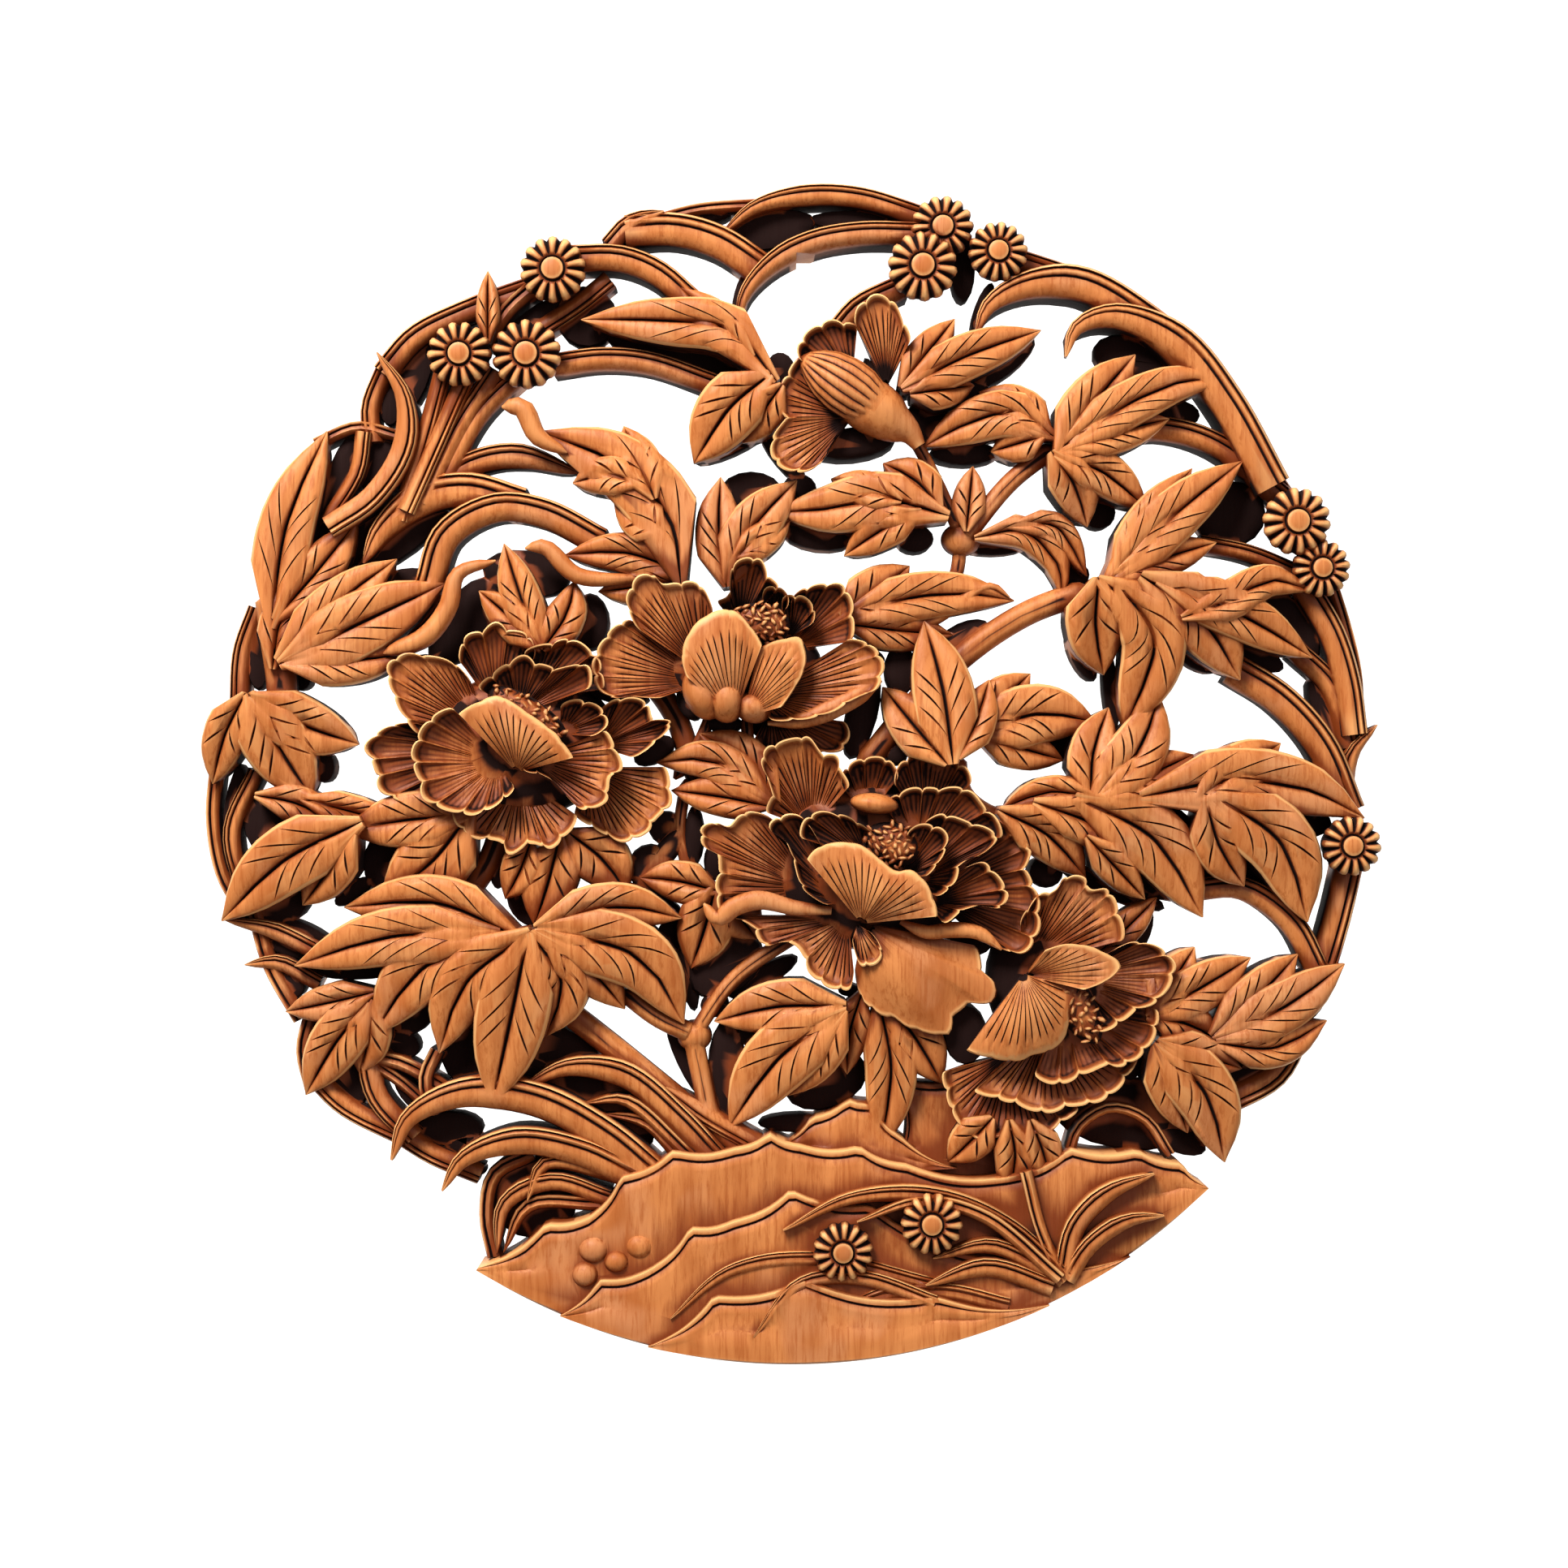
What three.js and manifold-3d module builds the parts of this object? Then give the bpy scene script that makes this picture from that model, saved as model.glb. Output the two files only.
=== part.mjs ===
// Round openwork wall panel, carved from one plank: peonies and leaves on stems, grass, daisies and a rock.
// Millimetres, +Z up. The carved front faces -Y. The origin is the flat seat that the panel hangs by.
import * as THREE from "three";
import { mergeVertices } from "three/addons/utils/BufferGeometryUtils.js";
import Module from "manifold-3d";

// Driving dimensions
const PANEL_DIAMETER = 270;
const SEAT_DEPTH = 6;
const SEAT_LENGTH = 7;
const SEAT_CUT_DEPTH = 40;
const SEAT_CUT_HEIGHT = 3;
const ROCK_HEIGHT = 15;
const ROCK_STEP = 1.6;
const BLADE_RISE = 2.2;
const BLADE_FOOT = 0;
const BLADE_TAPER = 0.9;
const BLADE_TIP_WIDTH = 0.45;
const LEAF_FOOT = 4;
const LEAF_VALLEY = 1.1;
const LEAF_EDGE_DROP = 0.6;
const LEAF_DROOP = 1.5;
const UNDERCUT = 0.96;
const PETAL_RIM = 1.6;
const PETAL_DEPTH = 4;
const PETAL_ROOT_AT = 0.08;
const PETAL_FOOT_AT = 0.45;
const PETAL_MIDDLE_AT = 0.6;
const PETAL_UNDER_AT = 0.97;
const DAISY_DOME = 3.4;
const DAISY_SIDES = 10;
const WEB_SIDES = 8;
const STEM_SIDES = 6;

// The layout is drawn on a sheet on which the panel is 1450 units across.
// Heights are millimetres above the back.
const SHEET_DIAMETER = 1450;
const SHEET_CENTRE = [975, 952];
const SHEET_SEAT = [1000, 312];
const ROCK_RADIUS = 723;
const UNIT = PANEL_DIAMETER / SHEET_DIAMETER;

// Grass blades: name, width, top height, which ends are pointed, course
const BLADES = [
  ["rim_top", 26, 11, "start", [[888, 288], [930, 253], [992, 238], [1060, 241], [1146, 268]]],
  ["rim_top_left", 16, 9, "none", [[800, 270], [860, 254], [940, 248]]],
  ["top_tuft", 24, 12, "end", [[750, 302], [774, 276], [818, 260]]],
  ["arch_left_of_nail", 40, 12, "none", [[770, 284], [830, 281], [885, 296], [940, 332]]],
  ["arch_under_tuft", 32, 13, "none", [[700, 318], [764, 318], [810, 336], [852, 372]]],
  ["blade_under_daisy", 26, 9, "none", [[750, 340], [710, 372], [655, 408]]],
  ["arch_over_gap", 28, 11, "none", [[680, 448], [740, 440], [800, 445], [878, 472]]],
  ["nail_arch", 32, 13, "start",
    [[908, 408], [918, 362], [952, 324], [1000, 302], [1060, 289], [1140, 288]]],
  ["arch_over_bud", 30, 12, "none", [[1032, 408], [1058, 378], [1112, 352]]],
  ["rim_right", 28, 10, "none",
    [[1240, 312], [1363, 357], [1445, 418], [1507, 486], [1554, 565], [1597, 628]]],
  ["hook_right", 42, 14, "start",
    [[1202, 414], [1218, 378], [1264, 352], [1332, 350], [1412, 396], [1470, 448]]],
  ["hook_lower_right", 42, 15, "start",
    [[1312, 442], [1326, 405], [1373, 390], [1450, 422], [1510, 495], [1568, 600]]],
  ["arch_right", 30, 11, "none", [[1380, 534], [1430, 526], [1500, 546], [1600, 627]]],
  ["blade_right", 22, 10, "none", [[1480, 668], [1540, 680], [1600, 704]]],
  ["edge_right_outer", 16, 8, "none", [[1641, 702], [1664, 775], [1676, 830], [1679, 890]]],
  ["edge_right", 32, 11, "none", [[1610, 722], [1644, 780], [1663, 840], [1672, 905]]],
  ["edge_right_inner", 28, 9, "none", [[1600, 800], [1645, 845], [1668, 920]]],
  ["blade_far_right", 40, 11, "none", [[1520, 823], [1581, 862], [1631, 919], [1665, 1000]]],
  ["flick", 22, 10, "start", [[1700, 893], [1669, 930], [1661, 1008]]],
  ["arch_low_right", 30, 11, "none", [[1470, 1097], [1530, 1094], [1592, 1135], [1627, 1198]]],
  ["edge_low_right", 34, 10, "none", [[1667, 1062], [1652, 1128], [1627, 1214]]],
  ["edge_under_leaf", 32, 9, "none", [[1606, 1270], [1576, 1326], [1508, 1364]]],
  ["loop_by_flower", 14, 12, "none",
    [[1318, 1424], [1330, 1390], [1368, 1366], [1412, 1380], [1442, 1424]]],
  ["rim_upper_left", 30, 10, "none", [[470, 458], [508, 414], [566, 384], [660, 350]]],
  ["rim_left_inner", 24, 9, "none", [[457, 542], [453, 500], [474, 446]]],
  ["sprig_stalk", 20, 11, "none", [[598, 425], [625, 380], [665, 345]]],
  ["horn_left", 30, 14, "start", [[466, 436], [498, 490], [498, 550], [460, 612], [405, 650]]],
  ["arch_left", 16, 9, "none", [[385, 545], [437, 524], [490, 536]]],
  ["torn_blade", 22, 10, "none", [[445, 530], [437, 580], [400, 640]]],
  ["inner_left", 16, 9, "none", [[506, 520], [512, 560], [520, 610]]],
  ["bundle_a", 24, 12, "none", [[545, 455], [522, 540], [490, 640]]],
  ["bundle_b", 24, 13, "none", [[575, 460], [540, 540], [500, 630]]],
  ["bundle_c", 24, 12, "none", [[610, 455], [562, 530], [520, 620]]],
  ["bundle_d", 24, 11, "none", [[650, 450], [590, 508], [540, 600]]],
  ["arch_upper", 32, 10, "end", [[535, 594], [590, 566], [640, 560], [714, 582]]],
  ["arch_big", 44, 12, "start", [[448, 694], [470, 652], [517, 614], [575, 603], [642, 622]]],
  ["arch_small", 36, 13, "none", [[528, 722], [550, 659], [610, 625], [670, 632], [740, 668]]],
  ["ring_left", 24, 8, "none", [[312, 748], [293, 802], [289, 870]]],
  ["ring_left_low", 18, 8, "none", [[262, 940], [257, 1010], [270, 1080], [300, 1130]]],
  ["ring_left_inner", 22, 9, "none", [[312, 950], [281, 1025], [300, 1110]]],
  ["spear_left", 24, 10, "start", [[274, 1134], [335, 1148], [420, 1192]]],
  ["spear_left_low", 22, 9, "start", [[298, 1190], [340, 1188], [390, 1214]]],
  ["ring_low_left", 20, 8, "none", [[308, 1120], [328, 1190], [366, 1258]]],
  ["ring_by_leaf_tip", 20, 8, "none", [[380, 1250], [370, 1296], [381, 1346]]],
  ["ring_foot_left", 26, 9, "none", [[380, 1324], [420, 1364], [502, 1406]]],
  ["loop_foot_left", 28, 10, "none", [[448, 1290], [462, 1352], [508, 1404]]],
  ["grass_left_a", 20, 10, "none", [[440, 1302], [491, 1312], [545, 1342]]],
  ["grass_left_b", 16, 9, "none", [[450, 1310], [488, 1334], [530, 1372]]],
  ["ring_foot_right", 26, 9, "none", [[490, 1400], [530, 1425], [590, 1450]]],
  ["curl_by_leaf", 18, 12, "none", [[538, 1295], [524, 1328], [532, 1375]]],
  ["grass_front_a", 44, 15, "start",
    [[484, 1428], [504, 1378], [570, 1346], [660, 1354], [745, 1398], [810, 1452]]],
  ["grass_front_b", 34, 13, "start", [[641, 1341], [700, 1315], [770, 1325], [835, 1378], [885, 1432]]],
  ["grass_front_c", 18, 13, "start", [[722, 1359], [770, 1356], [850, 1425]]],
  ["grass_front_d", 16, 12, "start", [[746, 1373], [795, 1385], [835, 1425]]],
  ["grass_front_e", 36, 14, "start", [[546, 1466], [572, 1427], [640, 1405], [720, 1420], [780, 1450]]],
  ["grass_front_f", 22, 12, "start", [[650, 1479], [672, 1434], [770, 1452]]],
  ["grass_left_edge", 20, 9, "none", [[608, 1552], [598, 1500], [608, 1450], [655, 1425]]],
  ["grass_nest_a", 24, 12, "start", [[612, 1544], [622, 1484], [680, 1457], [750, 1478]]],
  ["grass_nest_b", 18, 11, "start", [[620, 1544], [650, 1488], [740, 1486]]],
  ["root_by_trunk", 26, 12, "none", [[820, 1340], [870, 1375], [935, 1412]]],
  ["relief_a", 24, 18, "start", [[965, 1511], [1050, 1472], [1160, 1472], [1245, 1510], [1310, 1572]]],
  ["relief_b", 18, 19, "start", [[1055, 1500], [1130, 1476], [1210, 1494], [1302, 1570]]],
  ["relief_c", 22, 18, "start", [[1148, 1545], [1220, 1531], [1306, 1574]]],
  ["relief_d", 26, 18, "start", [[1139, 1578], [1215, 1557], [1294, 1582]]],
  ["relief_e", 22, 17, "start", [[827, 1620], [900, 1562], [1010, 1548], [1150, 1580]]],
  ["relief_f", 22, 18, "start", [[929, 1641], [985, 1578], [1060, 1570], [1150, 1600]]],
  ["relief_g", 26, 17, "start", [[1004, 1648], [1070, 1598], [1160, 1588], [1240, 1606]]],
  ["relief_h", 28, 18, "end", [[1308, 1570], [1322, 1508], [1362, 1466], [1418, 1442]]],
  ["relief_i", 24, 18, "end", [[1312, 1572], [1340, 1530], [1385, 1500], [1430, 1493]]],
  ["relief_stalk", 16, 18, "none", [[1262, 1440], [1280, 1510], [1308, 1572]]],
];

// Curled tips and stems, round in section: name, width, height of the middle, course
const STEMS = [
  ["bud_stalk", 16, 11, [[1090, 500], [1124, 538], [1154, 592], [1182, 655]]],
  ["spray_stalk", 24, 11, [[1186, 666], [1245, 594], [1301, 550]]],
  ["neck", 18, 9, [[1185, 660], [1178, 710], [1150, 752]]],
  ["branch", 32, 10, [[1345, 726], [1265, 756], [1185, 810], [1110, 888], [1060, 950]]],
  ["stalk_left_of_b", 16, 8, [[880, 870], [858, 920], [830, 960]]],
  ["stalk_right_of_b", 16, 9, [[918, 880], [928, 940], [960, 990]]],
  ["stalk_behind", 16, 8, [[845, 960], [837, 1025], [850, 1085]]],
  ["branch_low", 20, 9, [[985, 1150], [905, 1206], [855, 1275]]],
  ["twig_low", 26, 10, [[768, 1222], [810, 1254], [856, 1276]]],
  ["trunk_low", 26, 9, [[853, 1275], [862, 1320], [880, 1385], [915, 1420]]],
  ["branch_left", 32, 8, [[655, 1215], [745, 1285], [850, 1370]]],
  ["trunk_left", 40, 9, [[345, 880], [345, 840], [338, 790], [330, 730]]],
  ["knob_curl", 26, 15, [[620, 504], [645, 505], [664, 540], [700, 560]]],
  ["fold_curl", 22, 14, [[648, 677], [672, 675], [712, 710], [800, 714]]],
  ["long_curl", 26, 14, [[474, 806], [525, 786], [553, 750], [566, 708], [612, 692]]],
  ["curl_on_branch", 15, 12, [[1100, 778], [1155, 762], [1190, 736], [1222, 722], [1244, 736]]],
  ["bridge_centre", 30, 6, [[770, 800], [830, 880], [860, 960], [900, 1000]]],
  ["bridge_left", 30, 6, [[560, 1120], [600, 1060], [620, 1000]]],
  ["bridge_right", 26, 6, [[1180, 930], [1190, 980], [1240, 1010], [1340, 990]]],
  ["link_low", 26, 6, [[880, 1170], [880, 1130], [900, 1080]]],
  ["stalk_to_spray", 22, 9, [[1345, 726], [1390, 800], [1400, 880], [1345, 980]]],
];

// Leaves: name, height at the root, height at the tips, leaflets as width and course from root to tip
const LEAVES = [
  ["beside_bud_left", 18, 13, [
    [64, [957, 474], [900, 410], [820, 398], [716, 394]],
    [54, [928, 445], [880, 398], [839, 355]],
    [80, [950, 465], [900, 505], [855, 571]],
    [54, [964, 478], [940, 510], [915, 546]]]],
  ["crest", 18, 14, [
    [86, [840, 722], [828, 648], [772, 580], [664, 532]],
    [56, [808, 618], [790, 575], [769, 526]],
    [50, [790, 600], [750, 588], [706, 596]],
    [56, [820, 662], [790, 640], [757, 621]]]],
  ["crest_foot", 16, 13, [
    [52, [846, 708], [770, 682], [696, 684]],
    [46, [846, 716], [790, 724], [737, 729]]]],
  ["above_centre", 17, 13, [
    [60, [896, 725], [886, 655], [888, 588]],
    [66, [896, 722], [925, 655], [982, 592]],
    [44, [905, 690], [974, 641]]]],
  ["beside_bud_right", 18, 14, [
    [48, [1108, 482], [1140, 440], [1176, 394]],
    [58, [1110, 484], [1190, 442], [1282, 408]],
    [48, [1120, 490], [1200, 476]]]],
  ["under_bud_right", 17, 13, [
    [60, [1298, 542], [1245, 512], [1190, 524], [1138, 551]],
    [50, [1292, 538], [1255, 502], [1206, 483]],
    [48, [1285, 540], [1221, 557]]]],
  ["below_bud", 17, 13, [
    [72, [1168, 638], [1090, 618], [1020, 628], [954, 632]],
    [48, [1110, 620], [1060, 602], [1024, 590]],
    [54, [1158, 628], [1125, 592], [1088, 571]],
    [50, [1135, 632], [1085, 655], [1040, 685]]]],
  ["fork", 15, 12, [
    [42, [1190, 656], [1199, 574]],
    [42, [1200, 664], [1260, 656], [1302, 694], [1310, 738]],
    [36, [1240, 650], [1300, 650], [1340, 710]]]],
  ["fan_upper_right", 19, 14, [
    [72, [1300, 568], [1340, 506], [1398, 438]],
    [58, [1298, 560], [1390, 500], [1450, 474], [1512, 468]],
    [52, [1315, 556], [1385, 532], [1440, 517]],
    [56, [1296, 564], [1356, 585], [1413, 628]],
    [58, [1292, 560], [1322, 602], [1339, 650]]]],
  ["three_right", 19, 14, [
    [56, [1366, 722], [1412, 645], [1468, 578]],
    [68, [1358, 722], [1440, 640], [1530, 569]],
    [50, [1362, 716], [1430, 690], [1498, 669]]]],
  ["beside_centre", 16, 12, [
    [66, [1035, 760], [1080, 730], [1121, 697]],
    [62, [1035, 762], [1120, 738], [1190, 732], [1250, 740]],
    [52, [1040, 770], [1110, 778], [1174, 782]]]],
  ["spear_pair", 20, 15, [
    [78, [1172, 942], [1160, 850], [1138, 766]],
    [62, [1165, 942], [1125, 895], [1087, 847]],
    [52, [1178, 935], [1202, 885], [1218, 838]]]],
  ["small_right", 16, 12, [
    [62, [1200, 905], [1240, 858], [1270, 830]],
    [78, [1198, 906], [1280, 880], [1352, 890]],
    [54, [1205, 908], [1311, 937]]]],
  ["spray_right", 20, 14, [
    [74, [1349, 714], [1347, 775], [1359, 832]],
    [80, [1372, 722], [1418, 790], [1385, 900]],
    [64, [1348, 716], [1410, 762], [1451, 824]],
    [84, [1400, 712], [1475, 762], [1527, 838]],
    [64, [1420, 718], [1530, 762], [1616, 811]],
    [50, [1450, 764], [1506, 744], [1560, 717], [1614, 728]]]],
  ["wide_right", 19, 14, [
    [62, [1340, 985], [1345, 925], [1365, 872]],
    [74, [1342, 985], [1400, 925], [1428, 856]],
    [58, [1350, 982], [1470, 930]],
    [68, [1470, 986], [1530, 944], [1577, 916]],
    [84, [1400, 982], [1520, 962], [1610, 974], [1680, 1008]],
    [42, [1350, 984], [1290, 976], [1234, 996]],
    [64, [1228, 998], [1290, 1030], [1337, 1081]],
    [60, [1270, 988], [1350, 1018], [1412, 1064]],
    [46, [1335, 1030], [1410, 1108]],
    [86, [1320, 982], [1420, 1035], [1481, 1130]],
    [64, [1480, 985], [1500, 1045], [1532, 1092]],
    [88, [1490, 980], [1575, 1040], [1610, 1136]]]],
  ["behind_flower", 14, 11, [
    [42, [1345, 1180], [1392, 1140], [1427, 1106]]]],
  ["low_right_a", 17, 13, [
    [54, [1412, 1250], [1445, 1205], [1472, 1167]],
    [62, [1410, 1252], [1485, 1212], [1541, 1180]],
    [58, [1410, 1250], [1465, 1262], [1502, 1284]]]],
  ["low_right_b", 16, 12, [
    [62, [1490, 1276], [1560, 1216], [1600, 1176]],
    [66, [1495, 1278], [1585, 1238], [1658, 1188]],
    [52, [1495, 1284], [1570, 1290], [1636, 1258]]]],
  ["low_right_c", 18, 13, [
    [62, [1418, 1284], [1445, 1345], [1463, 1396]],
    [80, [1420, 1280], [1485, 1350], [1509, 1432]],
    [52, [1425, 1280], [1530, 1317]]]],
  ["left_spire", 15, 11, [
    [72, [336, 775], [355, 642], [401, 530]],
    [60, [340, 765], [395, 700], [438, 641]],
    [52, [338, 825], [348, 760], [389, 696]]]],
  ["left_fan", 17, 13, [
    [62, [345, 815], [420, 742], [489, 689]],
    [82, [348, 820], [440, 772], [549, 719]],
    [62, [352, 818], [440, 814], [503, 806]]]],
  ["over_left_flower", 16, 13, [
    [52, [668, 800], [642, 735], [621, 670]],
    [50, [668, 802], [630, 762], [590, 728]],
    [52, [670, 802], [700, 755], [708, 716]]]],
  ["left_drop", 17, 12, [
    [56, [307, 855], [278, 910], [261, 966]],
    [72, [312, 858], [370, 892], [441, 917]],
    [84, [310, 855], [345, 920], [384, 985]]]],
  ["left_fold", 14, 12, [
    [48, [315, 980], [365, 990], [430, 1024]],
    [44, [372, 984], [432, 1000], [500, 1018]]]],
  ["left_low", 18, 12, [
    [84, [450, 1012], [350, 1062], [272, 1135]],
    [62, [440, 1026], [405, 1075], [372, 1116]]]],
  ["under_left_flower", 16, 13, [
    [70, [580, 1004], [490, 1012], [426, 1024]],
    [92, [582, 1000], [535, 1060], [470, 1111]]]],
  ["low_left_fan", 19, 13, [
    [72, [640, 1152], [540, 1112], [424, 1118]],
    [74, [620, 1148], [480, 1154], [363, 1190]],
    [82, [620, 1148], [520, 1195], [459, 1276]]]],
  ["low_left_small", 14, 10, [
    [48, [462, 1222], [405, 1236], [349, 1248]],
    [68, [458, 1230], [410, 1290], [374, 1351]],
    [58, [458, 1235], [452, 1285], [441, 1325]]]],
  ["low_spray_left", 20, 14, [
    [78, [658, 1146], [575, 1212], [542, 1297]],
    [92, [655, 1146], [635, 1240], [607, 1361]],
    [72, [656, 1146], [694, 1210], [673, 1277]]]],
  ["low_spray_right", 20, 14, [
    [64, [662, 1142], [765, 1116], [840, 1131]],
    [86, [665, 1142], [790, 1180], [843, 1261]],
    [62, [672, 1146], [735, 1200], [770, 1243]]]],
  ["hanging_leaf", 14, 12, [
    [52, [655, 1035], [640, 1075], [622, 1108]],
    [72, [690, 1030], [675, 1090], [658, 1141]],
    [72, [700, 1025], [745, 1062], [772, 1101]]]],
  ["behind_centre", 13, 11, [
    [54, [885, 1098], [830, 1085], [788, 1082]],
    [72, [882, 1092], [868, 1145], [851, 1194]],
    [62, [885, 1095], [933, 1158]]]],
  ["between_flowers", 17, 13, [
    [54, [955, 992], [880, 938], [809, 940]],
    [50, [950, 994], [890, 982], [827, 974]],
    [62, [958, 992], [915, 935], [862, 904]]]],
  ["low_centre", 17, 12, [
    [68, [1042, 1238], [955, 1240], [880, 1259]],
    [86, [1040, 1240], [955, 1308], [898, 1390]],
    [62, [1040, 1242], [1005, 1300], [970, 1351]]]],
  ["low_centre_right", 14, 11, [
    [52, [1062, 1222], [1045, 1280], [1044, 1325]],
    [66, [1082, 1230], [1098, 1315], [1085, 1420]],
    [64, [1100, 1240], [1135, 1290], [1161, 1336]]]],
  ["sepals_low", 16, 13, [
    [54, [1222, 1375], [1195, 1405], [1168, 1432]],
    [52, [1242, 1378], [1250, 1425], [1242, 1478]],
    [50, [1268, 1378], [1285, 1420], [1296, 1462]]]],
  ["rim_sprig", 14, 11, [
    [30, [602, 425], [600, 332]]]],
];

// Petals: name, root, height at the root, height at the rim, bulge, rim course
const PETALS = [
  ["left_outer_west", [600, 925], 10, 15, 1,
    [[512, 890], [452, 922], [470, 975], [530, 1002], [580, 985]]],
  ["left_outer_northwest", [600, 905], 10, 16, 1,
    [[520, 908], [486, 862], [486, 822], [530, 808], [575, 835]]],
  ["left_outer_north", [612, 880], 10, 16, 1, [[566, 812], [585, 772], [636, 772], [664, 806]]],
  ["left_outer_northeast", [655, 860], 11, 17, 1, [[648, 800], [700, 782], [740, 805], [748, 850]]],
  ["left_inner_north", [640, 880], 15, 22, 1, [[592, 848], [645, 808], [700, 820], [735, 848]]],
  ["left_outer_east", [735, 920], 12, 18, 1,
    [[742, 872], [800, 862], [832, 890], [812, 922], [780, 942]]],
  ["left_inner_east", [680, 930], 15, 21, 1,
    [[705, 868], [752, 880], [772, 940], [728, 998], [680, 962]]],
  ["left_outer_southeast", [720, 945], 10, 15, 1, [[708, 1006], [768, 1040], [826, 996], [824, 945]]],
  ["left_outer_south", [640, 960], 10, 16, 1, [[556, 990], [590, 1034], [652, 1050], [716, 1018]]],
  ["left_inner_west", [615, 940], 15, 20, 1,
    [[560, 870], [512, 930], [528, 985], [590, 1004], [640, 975]]],
  ["left_bowl", [640, 952], 17, 23, 3, [[570, 880], [618, 858], [672, 888], [712, 934]]],
  ["top_outer_west", [868, 840], 12, 17, 1, [[812, 862], [745, 852], [732, 818], [756, 780], [800, 780]]],
  ["top_outer_northwest", [868, 830], 14, 20, 1,
    [[800, 790], [773, 750], [790, 712], [842, 716], [880, 750]]],
  ["top_outer_north", [912, 775], 13, 20, 0.5, [[882, 742], [902, 696], [938, 690], [960, 722]]],
  ["top_outer_northeast", [970, 800], 14, 20, 0.5, [[965, 740], [1010, 720], [1048, 742], [1052, 792]]],
  ["top_outer_east", [935, 850], 14, 20, 1,
    [[1045, 788], [1088, 818], [1076, 855], [1020, 884], [950, 890]]],
  ["top_under", [950, 875], 10, 14, 1, [[918, 930], [980, 940], [1046, 920], [1045, 890]]],
  ["top_bowl_right", [915, 886], 17, 22, 2, [[936, 800], [985, 788], [994, 830], [965, 872]]],
  ["top_bowl", [905, 888], 18, 25, 3, [[846, 832], [852, 778], [900, 755], [940, 796]]],
  ["main_outer_west", [1000, 1095], 12, 18, 1,
    [[884, 1128], [866, 1075], [866, 1020], [932, 1000], [975, 1020]]],
  ["main_outer_northwest", [1000, 1020], 12, 19, 1, [[942, 1000], [936, 930], [992, 906], [1048, 952]]],
  ["main_outer_north", [1068, 1010], 12, 19, 1, [[1034, 955], [1072, 930], [1108, 950]]],
  ["main_outer_northeast", [1140, 1020], 12, 18, 1, [[1098, 950], [1150, 918], [1198, 955]]],
  ["main_mid_northeast", [1130, 1050], 15, 20, 1, [[1092, 988], [1150, 966], [1214, 986], [1236, 1030]]],
  ["main_outer_east", [1140, 1100], 12, 18, 1,
    [[1222, 1004], [1270, 1050], [1280, 1110], [1260, 1174], [1200, 1155]]],
  ["main_mid_east", [1125, 1090], 16, 22, 1,
    [[1136, 1008], [1190, 1004], [1228, 1032], [1238, 1098], [1195, 1120]]],
  ["main_inner_north", [1070, 1060], 17, 23, 1, [[980, 1030], [1000, 1000], [1060, 1006], [1080, 1030]]],
  ["main_inner_east", [1115, 1080], 18, 23, 1, [[1116, 1020], [1160, 1016], [1164, 1050], [1140, 1080]]],
  ["main_outer_southwest", [1045, 1130], 13, 17, 1,
    [[886, 1118], [940, 1166], [1000, 1212], [1052, 1216]]],
  ["main_apron", [1064, 1136], 17, 15, 3,
    [[1052, 1206], [1098, 1256], [1166, 1274], [1228, 1226], [1205, 1160]]],
  ["main_mid_west", [1030, 1110], 15, 21, 1,
    [[1000, 1120], [970, 1070], [945, 1020], [985, 1004], [1012, 1040]]],
  ["main_bowl", [1060, 1136], 19, 25, 3, [[992, 1054], [1052, 1034], [1108, 1068], [1152, 1124]]],
  ["low_fan", [1262, 1190], 12, 18, 1, [[1254, 1120], [1305, 1078], [1362, 1092], [1384, 1156]]],
  ["low_lip", [1262, 1200], 17, 22, 1.5, [[1284, 1166], [1340, 1160], [1376, 1186], [1330, 1216]]],
  ["low_shell", [1258, 1198], 19, 20, 3.5, [[1188, 1292], [1250, 1304], [1310, 1276], [1322, 1210]]],
  ["low_frill_a", [1320, 1205], 14, 19, 1, [[1374, 1164], [1444, 1186], [1424, 1236], [1350, 1272]]],
  ["low_frill_b", [1310, 1240], 13, 18, 1, [[1424, 1240], [1405, 1300], [1340, 1328], [1268, 1326]]],
  ["low_frill_c", [1290, 1270], 11, 16, 1, [[1404, 1296], [1354, 1358], [1280, 1372], [1196, 1344]]],
  ["low_frill_d", [1245, 1300], 10, 15, 1,
    [[1158, 1320], [1172, 1374], [1215, 1408], [1280, 1398], [1330, 1366]]],
  ["bud_west", [1050, 515], 14, 17, 1, [[985, 440], [956, 500], [952, 568], [990, 588], [1024, 548]]],
  ["bud_north", [1092, 478], 14, 19, 1, [[1050, 398], [1090, 369], [1122, 420]]],
  ["bud_northwest", [1050, 470], 14, 18, 1, [[982, 446], [998, 410], [1056, 402]]],
];

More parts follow.
